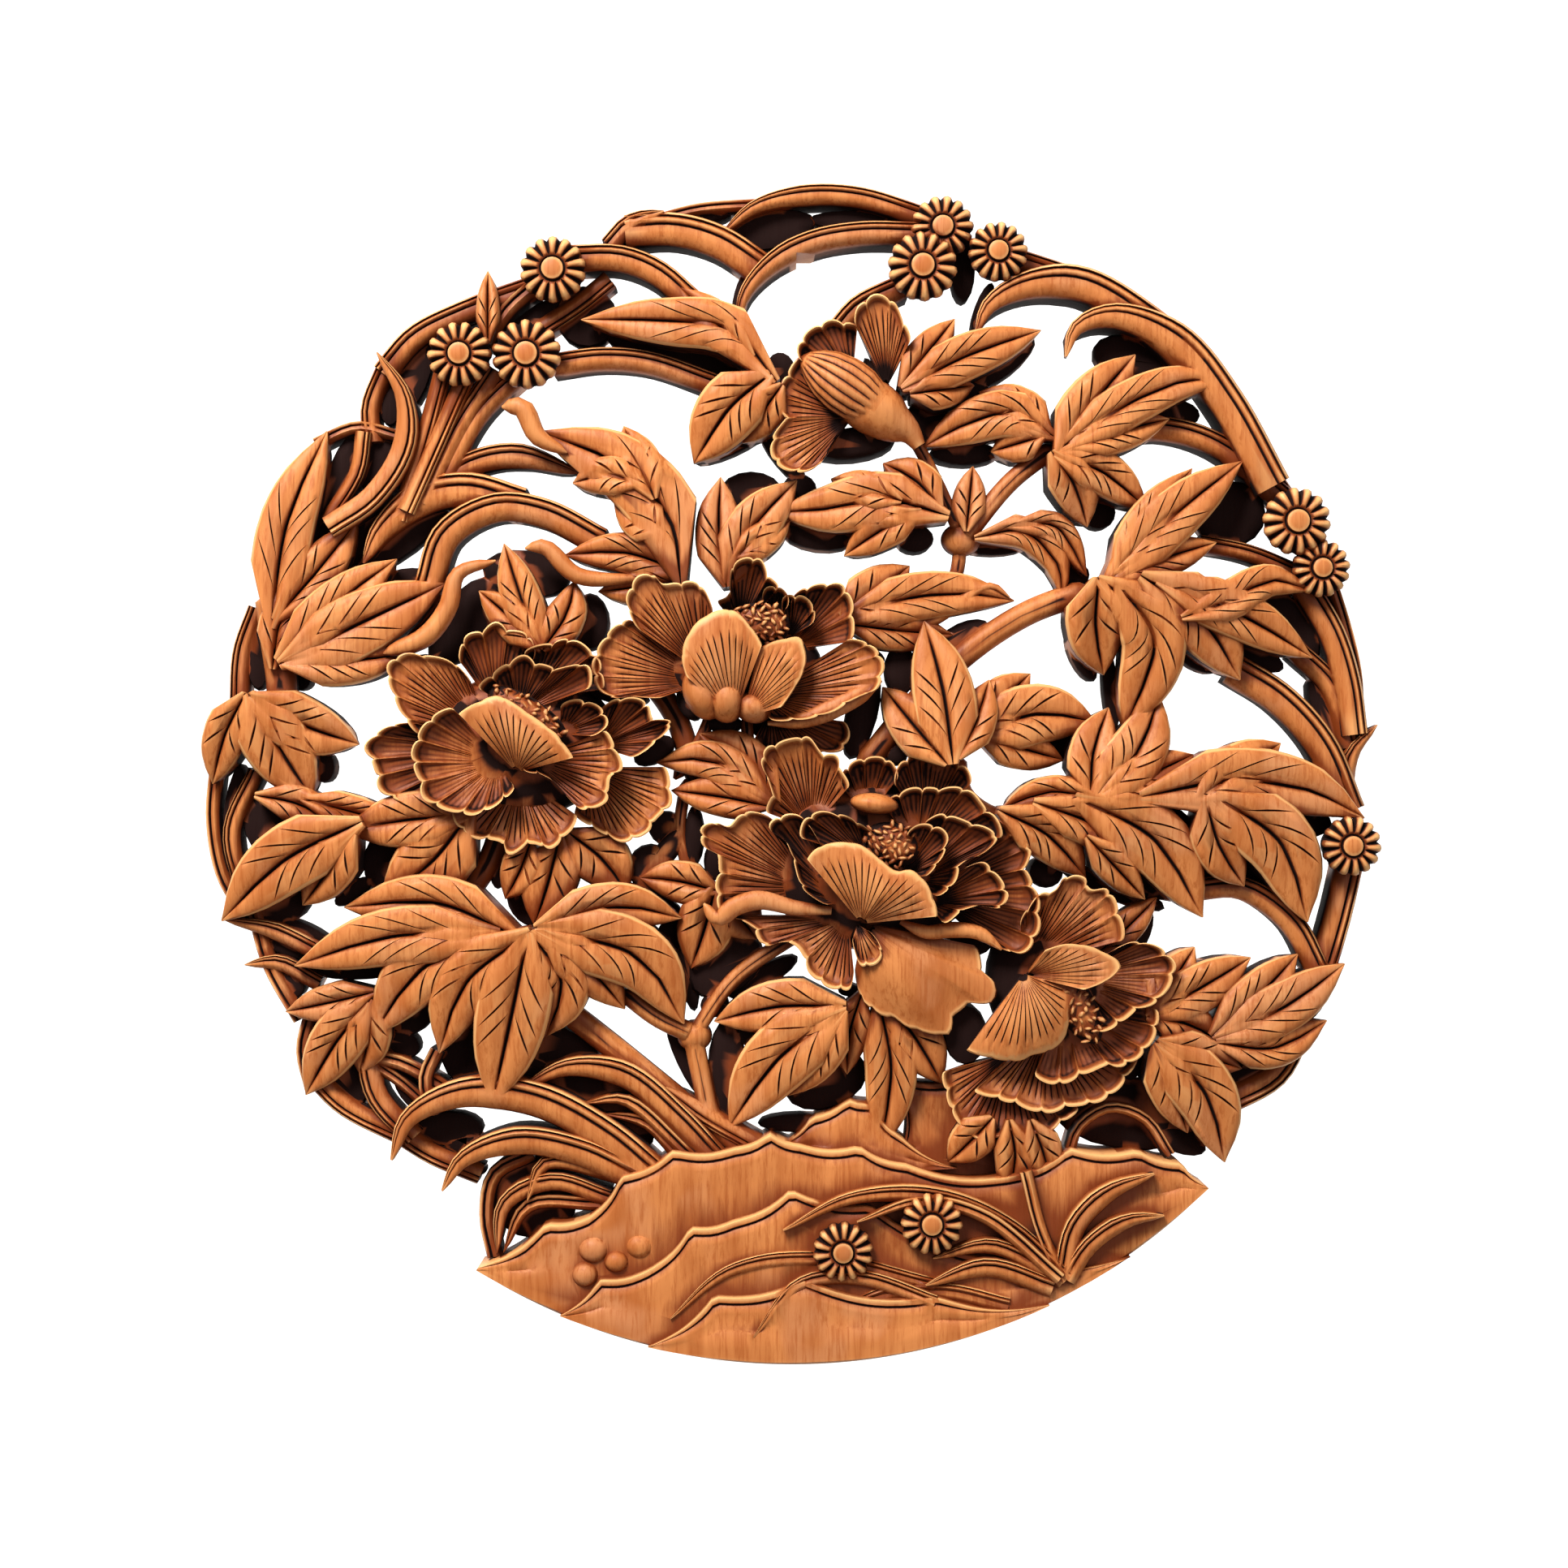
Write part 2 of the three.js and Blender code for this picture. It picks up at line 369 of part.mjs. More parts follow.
// Domes: name, middle, half width, half height, turn in degrees, low and high side
const DOMES = [
  ["bud_body", [1040, 478], 62, 36, 40, 10, 22],
  ["bud_calyx", [1090, 520], 38, 28, 40, 9, 20],
  ["node_upper", [1185, 664], 28, 26, 0, 5, 15],
  ["node_lower", [855, 1278], 24, 24, 0, 4, 14],
  ["left_core", [645, 915], 120, 92, 0, 2, 17],
  ["top_core", [915, 820], 100, 66, 0, 2, 18],
  ["main_core", [1075, 1065], 135, 110, 0, 2, 18],
  ["low_core", [1310, 1225], 90, 110, -35, 2, 16],
  ["top_calyx", [908, 862], 40, 26, 0, 10, 22],
  ["left_stamens", [655, 880], 46, 26, 30, 14, 21],
  ["top_stamens", [938, 770], 38, 26, 0, 14, 21],
  ["main_stamens", [1095, 1040], 38, 28, 0, 14, 22],
  ["low_stamens", [1325, 1235], 26, 60, -30, 12, 19],
];

// Daisies: middle of the flower, radius, height of the rim
const DAISIES = [
  [[682, 334], 41, 13], [[568, 439], 40, 14], [[650, 439], 43, 14],
  [[1161, 281], 39, 12], [[1136, 331], 43, 14], [[1229, 312], 37, 13],
  [[1595, 644], 42, 14], [[1626, 701], 36, 13], [[1662, 1042], 37, 14],
  [[1038, 1537], 37, 17], [[1146, 1502], 38, 18],
];

// Rock ridges: name, height, crest from left to right. Each is closed by the round foot of the panel.
const RIDGES = [
  ["back_ridge", ROCK_HEIGHT,
    [[590, 1560], [674, 1505], [728, 1496], [766, 1446], [830, 1415], [905, 1412],
    [948, 1394], [985, 1408], [1058, 1410], [1115, 1432], [1240, 1446], [1316, 1412], [1400, 1415],
    [1454, 1430], [1486, 1461]]],
  ["middle_ridge", ROCK_HEIGHT + ROCK_STEP,
    [[692, 1617], [740, 1571], [800, 1559], [851, 1508], [905, 1499],
    [974, 1462], [1070, 1480], [1250, 1550], [1390, 1545]]],
  ["front_ridge", ROCK_HEIGHT + 2 * ROCK_STEP,
    [[800, 1653], [880, 1590], [990, 1570], [1150, 1590], [1290, 1602]]],
];
const UPPER_ROCK = [
  [962, 1412], [1000, 1376], [1046, 1354], [1075, 1358], [1110, 1400], [1180, 1440], [1000, 1450],
];
const UPPER_ROCK_HEIGHT = 12;
const TRUNK_BLOCK = [[1108, 1330], [1180, 1330], [1260, 1400], [1330, 1420], [1250, 1460], [1108, 1440]];
const TRUNK_BLOCK_HEIGHT = 9;

// Low webs of wood left between the forms: middle, half width, half height, turn in degrees, height
const WEBS = [
  [[945, 278], 62, 24, -12, 7], [[1065, 268], 68, 15, 4, 7], [[870, 258], 32, 10, -6, 7],
  [[720, 385], 40, 38, 40, 7], [[655, 385], 40, 12, -35, 7], [[828, 432], 88, 19, 16, 7],
  [[508, 450], 20, 55, 15, 7], [[476, 495], 14, 26, 0, 7], [[560, 394], 38, 9, -17, 7],
  [[405, 605], 17, 78, 18, 7], [[460, 568], 18, 38, 20, 7], [[490, 655], 75, 26, -38, 7],
  [[450, 650], 14, 55, 22, 7], [[492, 712], 36, 14, -10, 7], [[568, 765], 32, 66, 35, 7],
  [[645, 705], 55, 30, 8, 7], [[725, 765], 24, 36, 0, 9], [[900, 545], 50, 12, -24, 7],
  [[925, 605], 40, 28, 0, 7], [[985, 600], 22, 20, 0, 7], [[965, 560], 12, 45, -40, 7],
  [[312, 805], 15, 45, 0, 7], [[760, 855], 40, 12, 10, 13], [[848, 868], 13, 22, -30, 12],
  [[893, 892], 22, 12, 0, 11], [[935, 893], 12, 14, 0, 7], [[805, 925], 28, 16, -30, 11],
  [[868, 725], 16, 22, -45, 7], [[1050, 545], 55, 20, -6, 12], [[1188, 325], 16, 42, 0, 7],
  [[1213, 375], 10, 35, 20, 7], [[1402, 441], 54, 31, 20, 7], [[1452, 505], 32, 18, 5, 7],
  [[1240, 442], 48, 16, -38, 7], [[1145, 517], 30, 32, 0, 7], [[1200, 480], 22, 12, -20, 7],
  [[1088, 478], 10, 45, -30, 12], [[1520, 630], 46, 42, 0, 7], [[1595, 770], 28, 55, -35, 7],
  [[1550, 805], 42, 16, 25, 7], [[1640, 890], 12, 58, -20, 7], [[1062, 880], 20, 58, 15, 11],
  [[1110, 825], 20, 32, 0, 11], [[1105, 930], 14, 14, 0, 12], [[1225, 670], 44, 12, 0, 7],
  [[1357, 628], 22, 22, 0, 7], [[1373, 850], 10, 52, -5, 7], [[1478, 811], 30, 12, 30, 7],
  [[1312, 916], 20, 22, 0, 7], [[282, 990], 12, 50, 10, 7], [[322, 1020], 28, 40, -20, 7],
  [[338, 1120], 38, 22, -15, 7], [[370, 1148], 35, 8, 25, 7], [[468, 1065], 26, 38, 0, 7],
  [[394, 945], 14, 20, 0, 7], [[355, 1215], 16, 18, 0, 7], [[430, 1196], 60, 14, 0, 7],
  [[470, 1215], 9, 22, 0, 7], [[503, 1250], 32, 26, -40, 7], [[568, 1295], 30, 45, 0, 7],
  [[425, 1342], 24, 34, 0, 7], [[500, 1348], 14, 30, -35, 7], [[572, 1414], 30, 14, 0, 7],
  [[550, 1395], 42, 22, 0, 7], [[685, 1295], 60, 28, 20, 7], [[735, 1370], 80, 42, 32, 7],
  [[655, 1480], 55, 52, 0, 7], [[800, 1070], 28, 30, 0, 10], [[810, 1112], 35, 10, 30, 7],
  [[855, 1030], 12, 38, 0, 10], [[828, 1155], 20, 24, 0, 7], [[846, 1200], 12, 50, -10, 7],
  [[895, 1192], 52, 34, -35, 9], [[940, 1206], 50, 14, -30, 7], [[842, 1310], 10, 50, -25, 7],
  [[895, 1320], 24, 62, 0, 9], [[1018, 1334], 54, 36, -20, 7], [[985, 1388], 52, 12, 0, 7],
  [[642, 1118], 17, 28, -35, 7], [[610, 1072], 11, 25, 0, 7], [[1618, 1015], 30, 18, 0, 7],
  [[1612, 1110], 11, 52, 8, 7], [[1555, 1085], 22, 42, -40, 7], [[1290, 1075], 22, 20, 0, 11],
  [[1375, 1095], 70, 16, 22, 7], [[1430, 1085], 40, 22, 30, 7], [[1450, 1018], 24, 22, 30, 7],
  [[1492, 1070], 36, 14, 30, 7], [[1195, 1160], 30, 20, 0, 12], [[1190, 1275], 27, 38, 0, 12],
  [[1410, 1150], 13, 32, 20, 7], [[1390, 1375], 95, 46, 8, 7], [[1540, 1325], 36, 18, 0, 7],
  [[1610, 1252], 34, 14, -35, 7], [[1513, 1398], 15, 30, 12, 7], [[1008, 655], 48, 22, 8, 9],
  [[1128, 662], 24, 18, 0, 9], [[1190, 556], 44, 15, 0, 9], [[1188, 784], 36, 18, -25, 11],
  [[1328, 706], 18, 16, 0, 8], [[1336, 806], 14, 36, -25, 8], [[1070, 802], 24, 8, 30, 12],
  [[962, 452], 18, 22, -10, 9], [[912, 357], 8, 30, 15, 8], [[362, 838], 16, 12, 0, 7],
  [[430, 1100], 28, 12, -35, 7], [[505, 822], 30, 14, -25, 7], [[520, 756], 11, 36, 40, 7],
  [[492, 1290], 22, 18, 20, 7], [[350, 1170], 26, 12, 20, 7], [[650, 1318], 28, 13, 0, 7],
  [[880, 1241], 18, 15, 0, 9], [[925, 1277], 18, 15, 0, 9], [[1456, 1408], 38, 17, 22, 7],
  [[1396, 1310], 15, 24, 0, 9], [[820, 1050], 14, 34, 35, 10],
];

const BLADE_STEP = 13;
const LEAF_STATIONS = [0, 0.3, 0.64];
const LEAF_WIDTHS = [0.36, 0.98, 0.84];
const PETAL_SPANS = 4;
const DOME_SIDES = 9;
const RIDGE_CURVE_SEGMENTS = 28;

// Turned profiles: distance from the middle as a share of the radius, height as a share of the rise
const DOME_PROFILE = [[0, 0], [0.8, 0], [1, 0.45], [0.6, 0.88], [0, 1]];
const DAISY_FOOT = [[0, 0], [0.6, 0]];
const DAISY_FACE = [[1, 0], [0.72, 0.8], [0.3, 1], [0, 1]];

// Thinning of the joined skin: how many triangles it may keep, and the costs of closing an edge
const MOST_TRIANGLES = 9800;
const EDGE_COST = 0.02;
const FIRST_COST = 0.01;
const LAST_COST = 400;
const COST_GROWTH = 1.6;
const LEAST_TURN = 0.3;
const LEAST_AREA = 0.004;

const wasm = await Module();
wasm.setup();

/** Turns a point of the sheet and a height above the back into a point of the panel. */
function place([x, y], height) {
  return new THREE.Vector3((x - SHEET_SEAT[0]) * UNIT, SEAT_DEPTH - height, (SHEET_SEAT[1] - y) * UNIT);
}

/** Gives a closed mesh as a solid that can be joined or cut. */
function solidOf(geometry) {
  const bare = geometry.clone();
  bare.deleteAttribute("normal");
  bare.deleteAttribute("uv");
  const merged = mergeVertices(bare, 1e-4);
  const index = merged.index.array;
  const corners = [];
  for (let i = 0; i < index.length; i += 3) {
    const [a, b, c] = [index[i], index[i + 1], index[i + 2]];
    if (a !== b && b !== c && c !== a) {
      corners.push(a, b, c);
    }
  }
  return new wasm.Manifold(new wasm.Mesh({
    numProp: 3,
    vertProperties: new Float32Array(merged.attributes.position.array),
    triVerts: new Uint32Array(corners),
  }));
}

/** Gives the volume inside a triangle list, negative where the faces point in. */
function signedVolume(points, triangles) {
  let sum = 0;
  for (const [a, b, c] of triangles) {
    sum += points[a].dot(points[b].clone().cross(points[c]));
  }
  return sum / 6;
}

/** Makes a geometry from points and triangles, with its faces pointing out. */
function geometryOf(points, triangles) {
  const outward = signedVolume(points, triangles) > 0;
  const geometry = new THREE.BufferGeometry().setFromPoints(points);
  geometry.setIndex(triangles.flatMap(([a, b, c]) => (outward ? [a, b, c] : [a, c, b])));
  return geometry;
}

/** Joins rings of points into one closed skin. A last ring of one point is a pointed tip. */
function loft(rings) {
  const points = rings.flat();
  const count = rings[0].length;
  const triangles = [];
  for (let k = 1; k < count - 1; k += 1) {
    triangles.push([0, k + 1, k]);
  }
  for (let ring = 0; ring < rings.length - 1; ring += 1) {
    const here = ring * count;
    const next = here + count;
    for (let k = 0; k < count; k += 1) {
      const k2 = (k + 1) % count;
      if (rings[ring + 1].length === 1) {
        triangles.push([here + k, here + k2, next]);
      } else {
        triangles.push([here + k, here + k2, next + k2], [here + k, next + k2, next + k]);
      }
    }
  }
  if (rings.at(-1).length === count) {
    const last = (rings.length - 1) * count;
    for (let k = 1; k < count - 1; k += 1) {
      triangles.push([last, last + k, last + k + 1]);
    }
  }
  return geometryOf(points, triangles);
}

/** Gives the smooth course through points of the sheet, in plan. */
function courseOf(points) {
  return new THREE.CatmullRomCurve3(points.map((point) => place(point, 0)), false, "centripetal");
}

/** Sets a section across a course: each pair is a distance to the left and a height above the back. */
function sectionAt(course, t, outline) {
  const middle = course.getPointAt(t);
  const along = course.getTangentAt(t);
  const left = new THREE.Vector3(-along.z, 0, along.x).normalize();
  return outline.map(([offset, height]) =>
    middle.clone().addScaledVector(left, offset).setY(SEAT_DEPTH - height));
}

/** A grass blade: a ridged strip that narrows to a point where it ends free. */
function blade([, width, top, pointed, points]) {
  const course = courseOf(points);
  const half = (width * UNIT) / 2;
  const spans = Math.max(3, Math.round(course.getLength() / BLADE_STEP));
  const rings = [];
  for (let i = 0; i <= spans; i += 1) {
    const fromTip = pointed === "end" ? spans - i : i;
    const t = pointed === "end" ? 1 - fromTip / spans : i / spans;
    if (pointed !== "none" && fromTip === 0) {
      rings.push(sectionAt(course, t, [[0, top - BLADE_RISE]]));
    } else {
      const fromNarrow = BLADE_TIP_WIDTH + ((1 - BLADE_TIP_WIDTH) * fromTip) / (spans / 2);
      const fullness = pointed === "none" ? 1 : Math.min(1, fromNarrow);
      const w = half * fullness;
      const rise = BLADE_RISE * fullness;
      const foot = w * BLADE_TAPER;
      rings.push(sectionAt(course, t,
        [[-w, top - rise], [0, top], [w, top - rise], [foot, BLADE_FOOT], [-foot, BLADE_FOOT]]));
    }
  }
  if (rings[0].length === 1) {
    rings.reverse();
  }
  return loft(rings);
}

/** A round stem or curled tip. */
function stem([, width, middleHeight, points]) {
  const course = courseOf(points);
  const radius = (width * UNIT) / 2;
  const spans = Math.max(2, Math.round(course.getLength() / BLADE_STEP));
  const rings = [];
  for (let i = 0; i <= spans; i += 1) {
    const outline = [];
    for (let k = 0; k < STEM_SIDES; k += 1) {
      const angle = (2 * Math.PI * (k + 0.5)) / STEM_SIDES;
      outline.push([radius * Math.cos(angle), middleHeight + radius * Math.sin(angle)]);
    }
    rings.push(sectionAt(course, i / spans, outline));
  }
  return loft(rings);
}

/** A leaflet: two raised halves with a valley between them, undercut below, that ends in a point. */
function leaflet(rootHeight, tipHeight, [width, ...points]) {
  const course = courseOf(points);
  const half = (width * UNIT) / 2;
  const rings = LEAF_STATIONS.map((t, i) => {
    const w = half * LEAF_WIDTHS[i];
    const top = THREE.MathUtils.lerp(rootHeight, tipHeight, t ** LEAF_DROOP);
    const low = top - LEAF_EDGE_DROP;
    return sectionAt(course, t,
      [[w, low], [0, top - LEAF_VALLEY], [-w, low], [-w * UNDERCUT, LEAF_FOOT], [w * UNDERCUT, LEAF_FOOT]]);
  });
  rings.push(sectionAt(course, 1, [[0, tipHeight - LEAF_EDGE_DROP]]));
  return loft(rings);
}

/** A petal: a fan from its root to its rim, cupped or bulged, with a thin rim and a thick root. */
function petal([, root, rootHeight, rimHeight, bulge, points]) {
  const rim = courseOf(points);
  const start = place(root, rootHeight);
  const rings = [];
  for (let i = 0; i <= PETAL_SPANS; i += 1) {
    const edge = rim.getPointAt(i / PETAL_SPANS);
    const across = i / PETAL_SPANS - 0.5;
    const towards = (r, height) => {
      const point = start.clone().lerp(edge, r);
      return point.setY(SEAT_DEPTH - height);
    };
    const middleHeight = (rootHeight + rimHeight) / 2 + bulge * (1 - 2 * Math.abs(across));
    rings.push([
      towards(PETAL_ROOT_AT, rootHeight),
      towards(PETAL_MIDDLE_AT, middleHeight),
      towards(1, rimHeight),
      towards(PETAL_UNDER_AT, rimHeight - PETAL_RIM),
      towards(PETAL_FOOT_AT, Math.min(rootHeight, middleHeight) - PETAL_DEPTH),
    ]);
  }
  return loft(rings);
}

/** A low dome on an oval foot, turned in the plane of the panel. */
function dome([, middle, halfWidth, halfHeight, turn, low, high]) {
  const profile = DOME_PROFILE.map(([share, rise]) =>
    new THREE.Vector2(share, THREE.MathUtils.lerp(low, high, rise)));
  const geometry = new THREE.LatheGeometry(profile, DOME_SIDES);
  geometry.scale(halfWidth * UNIT, 1, halfHeight * UNIT);
  geometry.rotateY(THREE.MathUtils.degToRad(-turn));
  return standOnBack(geometry, middle);
}

/** A daisy: a shallow round boss with a raised middle, on a stub that reaches down to the back. */
function daisy([middle, radius, rimHeight]) {
  const r = radius * UNIT;
  const profile = [
    ...DAISY_FOOT.map(([share, height]) => new THREE.Vector2(share * r, height)),
    ...DAISY_FACE.map(([share, rise]) => new THREE.Vector2(share * r, rimHeight + rise * DAISY_DOME)),
  ];
  return standOnBack(new THREE.LatheGeometry(profile, DAISY_SIDES), middle);
}

/** Lays a form that was turned about the Y axis on the back of the panel, at a point of the sheet. */
function standOnBack(geometry, middle) {
  const flipped = new THREE.Matrix4().makeScale(1, -1, -1);
  geometry.applyMatrix4(flipped);
  const at = place(middle, 0);
  geometry.translate(at.x, at.y, at.z);
  return geometry;
}

/** Extrudes an outline of the sheet from the back to a height. */
function slab(shape, height) {
  const geometry = new THREE.ExtrudeGeometry(shape, {
    depth: height,
    bevelEnabled: false,
    curveSegments: RIDGE_CURVE_SEGMENTS,
  });
  geometry.rotateX(Math.PI / 2);
  geometry.translate(0, SEAT_DEPTH, 0);
  return geometry;
}

/** A low web of wood between the forms, oval in plan, that reaches the back. */
function web([middle, halfWidth, halfHeight, turn, height]) {
  const around = new THREE.Vector2(0, 0);
  const points = Array.from({ length: WEB_SIDES }, (_, k) => {
    const angle = (2 * Math.PI * k) / WEB_SIDES;
    const corner = new THREE.Vector2(halfWidth * UNIT * Math.cos(angle), halfHeight * UNIT * Math.sin(angle));
    return corner.rotateAround(around, THREE.MathUtils.degToRad(-turn)).add(flat(middle));
  });
  return slab(new THREE.Shape(points), height);
}

/** Gives a point of the sheet as a point of a shape, which is drawn in the plane of the panel. */
function flat(point) {
  const at = place(point, 0);
  return new THREE.Vector2(at.x, at.z);
}

/** A rock ridge: its crest is drawn by hand and its foot is the round edge of the panel. */
function ridge([, height, crest]) {
  const points = crest.map(flat);
  const centre = flat(SHEET_CENTRE);
  const radius = ROCK_RADIUS * UNIT;
  const angleOf = (point) => Math.atan2(point.y - centre.y, point.x - centre.x);
  const shape = new THREE.Shape(points.slice(1, -1));
  shape.absarc(centre.x, centre.y, radius, angleOf(points.at(-1)), angleOf(points[0]), true);
  return slab(shape, height);
}

/** Joins solids two by two until one is left. */
function joinAll(solids) {
  let left = solids;
  while (left.length > 1) {
    const joined = [];
    for (let i = 0; i < left.length; i += 2) {
      joined.push(i + 1 < left.length ? left[i].add(left[i + 1]) : left[i]);
    }
    left = joined;
  }
  return left[0];
}

/** Splits triangles into the separate skins that they form. */
function skinsOf(triangles, pointCount) {
  const group = Array.from({ length: pointCount }, (_, i) => i);
  const find = (start) => {
    let i = start;
    while (group[i] !== i) {
      group[i] = group[group[i]];
      i = group[i];
    }
    return i;
  };
  for (const [a, b, c] of triangles) {
    group[find(b)] = find(a);
    group[find(c)] = find(a);
  }
  const skins = new Map();
  for (const corners of triangles) {
    const key = find(corners[0]);
    if (!skins.has(key)) {
      skins.set(key, []);
    }
    skins.get(key).push(corners);
  }
  return [...skins.values()];
}

/** Gives the plane of a triangle as a quadric, weighted by its area. */
function planeQuadric(a, b, c) {
  const normal = new THREE.Vector3().subVectors(b, a).cross(new THREE.Vector3().subVectors(c, a));
  const area = normal.length();
  normal.divideScalar(area || 1);
  const plane = [normal.x, normal.y, normal.z, -normal.dot(a)];
  return plane.flatMap((p, i) => plane.slice(i).map((q) => p * q * area));
}

/** Gives how far a point lies from the planes summed in a quadric, squared and weighted. */
function quadricError(q, { x, y, z }) {
  return q[0] * x * x + q[4] * y * y + q[7] * z * z + q[9]
    + 2 * (q[1] * x * y + q[2] * x * z + q[3] * x + q[5] * y * z + q[6] * y + q[8] * z);
}

/** A skin whose edges can be closed up one by one, cheapest first, without tearing or folding it. */
class Skin {
  constructor(points, triangles) {
    this.points = points;
    this.triangles = triangles;
    this.around = points.map(() => new Set());
    this.quadrics = points.map(() => new Array(10).fill(0));
    triangles.forEach((corners, face) => {
      const quadric = planeQuadric(...corners.map((i) => points[i]));
      for (const i of corners) {
        this.around[i].add(face);
        this.quadrics[i] = this.quadrics[i].map((value, k) => value + quadric[k]);
      }
    });
    this.count = triangles.length;
  }

  /** Lists the points joined to a point by an edge. */
  neighbours(i) {
    const found = new Set();
    for (const face of this.around[i]) {
      this.triangles[face].forEach((k) => found.add(k));
    }
    found.delete(i);
    return found;
  }

  /** Says where an edge would best close up, and what that costs. */
  proposal(a, b) {
    const sum = this.quadrics[a].map((value, k) => value + this.quadrics[b][k]);
    const spots = [this.points[a], this.points[b], this.points[a].clone().lerp(this.points[b], 0.5)];
    const length = this.points[a].distanceToSquared(this.points[b]);
    const errors = spots.map((spot) => Math.abs(quadricError(sum, spot)) + EDGE_COST * length);
    const best = errors.indexOf(Math.min(...errors));
    return { a, b, spot: spots[best], cost: errors[best], sum };
  }

  /** Says whether closing an edge keeps the skin whole and turns no face over. */
  allows({ a, b, spot }) {
    const near = this.neighbours(b);
    if ([...this.neighbours(a)].filter((i) => near.has(i)).length !== 2) {
      return false;
    }
    for (const [end, other] of [[a, b], [b, a]]) {
      for (const face of this.around[end]) {
        const corners = this.triangles[face];
        if (corners.includes(other)) {
          continue;
        }
        const before = new THREE.Triangle(...corners.map((i) => this.points[i]));
        const after = new THREE.Triangle(...corners.map((i) => (i === end ? spot : this.points[i])));
        const turned = before.getNormal(new THREE.Vector3()).dot(after.getNormal(new THREE.Vector3()));
        if (turned < LEAST_TURN && before.getArea() > LEAST_AREA) {
          return false;
        }
        if (after.getArea() < LEAST_AREA) {
          return false;
        }
      }
    }
    return true;
  }

  /** Closes an edge: its second end joins its first. */
  close({ a, b, spot, sum }) {
    this.points[a] = spot.clone();
    this.quadrics[a] = sum;
    for (const face of [...this.around[b]]) {
      const corners = this.triangles[face];
      if (corners.includes(a)) {
        corners.forEach((i) => this.around[i].delete(face));
        this.triangles[face] = null;
        this.count -= 1;
      } else {
        this.triangles[face] = corners.map((i) => (i === b ? a : i));
        this.around[a].add(face);
      }
    }
    this.around[b].clear();
  }

  /** Closes cheap edges, in rounds of rising cost, until few enough faces are left. */
  thinTo(target) {
    for (let limit = FIRST_COST; this.count > target && limit < LAST_COST; limit *= COST_GROWTH) {
      const proposals = [];
      this.around.forEach((faces, a) => {
        for (const b of faces.size ? this.neighbours(a) : []) {
          if (a < b) {
            proposals.push(this.proposal(a, b));
          }
        }
      });
      const touched = new Set();
      proposals.sort((p, q) => p.cost - q.cost);
      for (const proposal of proposals) {
        const { a, b, cost } = proposal;
        if (cost > limit || this.count <= target) {
          break;
        }
        if (!touched.has(a) && !touched.has(b) && this.allows(proposal)) {
          const ring = [...this.neighbours(a), ...this.neighbours(b)];
          this.close(proposal);
          ring.forEach((i) => touched.add(i));
        }
      }
    }
    return geometryOf(this.points, this.triangles.filter((corners) => corners));
  }
}

/** Gives a solid's outer skin with few faces. Hollows that nothing reaches are closed wood. */
function outerSkin(solid, target) {
  const mesh = solid.getMesh();
  const points = [];
  for (let i = 0; i < mesh.vertProperties.length; i += mesh.numProp) {
    points.push(new THREE.Vector3().fromArray(mesh.vertProperties, i));
  }
  const triangles = [];
  for (let i = 0; i < mesh.triVerts.length; i += 3) {
    triangles.push(Array.from(mesh.triVerts.slice(i, i + 3)));
  }
  const skins = skinsOf(triangles, points.length);
  skins.sort((a, b) => b.length - a.length);
  return new Skin(points, skins[0]).thinTo(target);
}

/** The flat seat under the arch that the panel hangs by is cut with a small block. */
function seatCutter() {
  const geometry = new THREE.BoxGeometry(SEAT_LENGTH, SEAT_CUT_DEPTH, SEAT_CUT_HEIGHT);
  geometry.translate(0, 0, -SEAT_CUT_HEIGHT / 2);
  return solidOf(geometry);
}

const elements = [
  ...BLADES.map(blade),
  ...STEMS.map(stem),
  ...LEAVES.flatMap(([, rootHeight, tipHeight, leaflets]) =>
    leaflets.map((row) => leaflet(rootHeight, tipHeight, row))),
  ...PETALS.map(petal),
  ...DOMES.map(dome),
  ...DAISIES.map(daisy),
  ...WEBS.map(web),
  ...RIDGES.map(ridge),
  slab(new THREE.Shape(UPPER_ROCK.map(flat)), UPPER_ROCK_HEIGHT),
  slab(new THREE.Shape(TRUNK_BLOCK.map(flat)), TRUNK_BLOCK_HEIGHT),
];
const joined = outerSkin(joinAll(elements.map(solidOf)), MOST_TRIANGLES);
const carved = solidOf(joined).subtract(seatCutter());

const wood = new THREE.MeshStandardMaterial({ color: 0xa9662c, roughness: 0.5, metalness: 0 });
const carving = new THREE.Mesh(outerSkin(carved, MOST_TRIANGLES), wood);
carving.name = "carving";

const panel = new THREE.Group();
panel.add(carving);

export default panel;
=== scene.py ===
"""Looks of a round openwork wall panel, carved from one plank: peonies, leaves, grass, daisies and a rock."""

import logging
import math
import random
from bisect import bisect_right
from collections.abc import Callable, Sequence
from dataclasses import dataclass
from enum import Enum
from itertools import accumulate

import bmesh
import bpy
from mathutils import Matrix, Vector
from mathutils.bvhtree import BVHTree


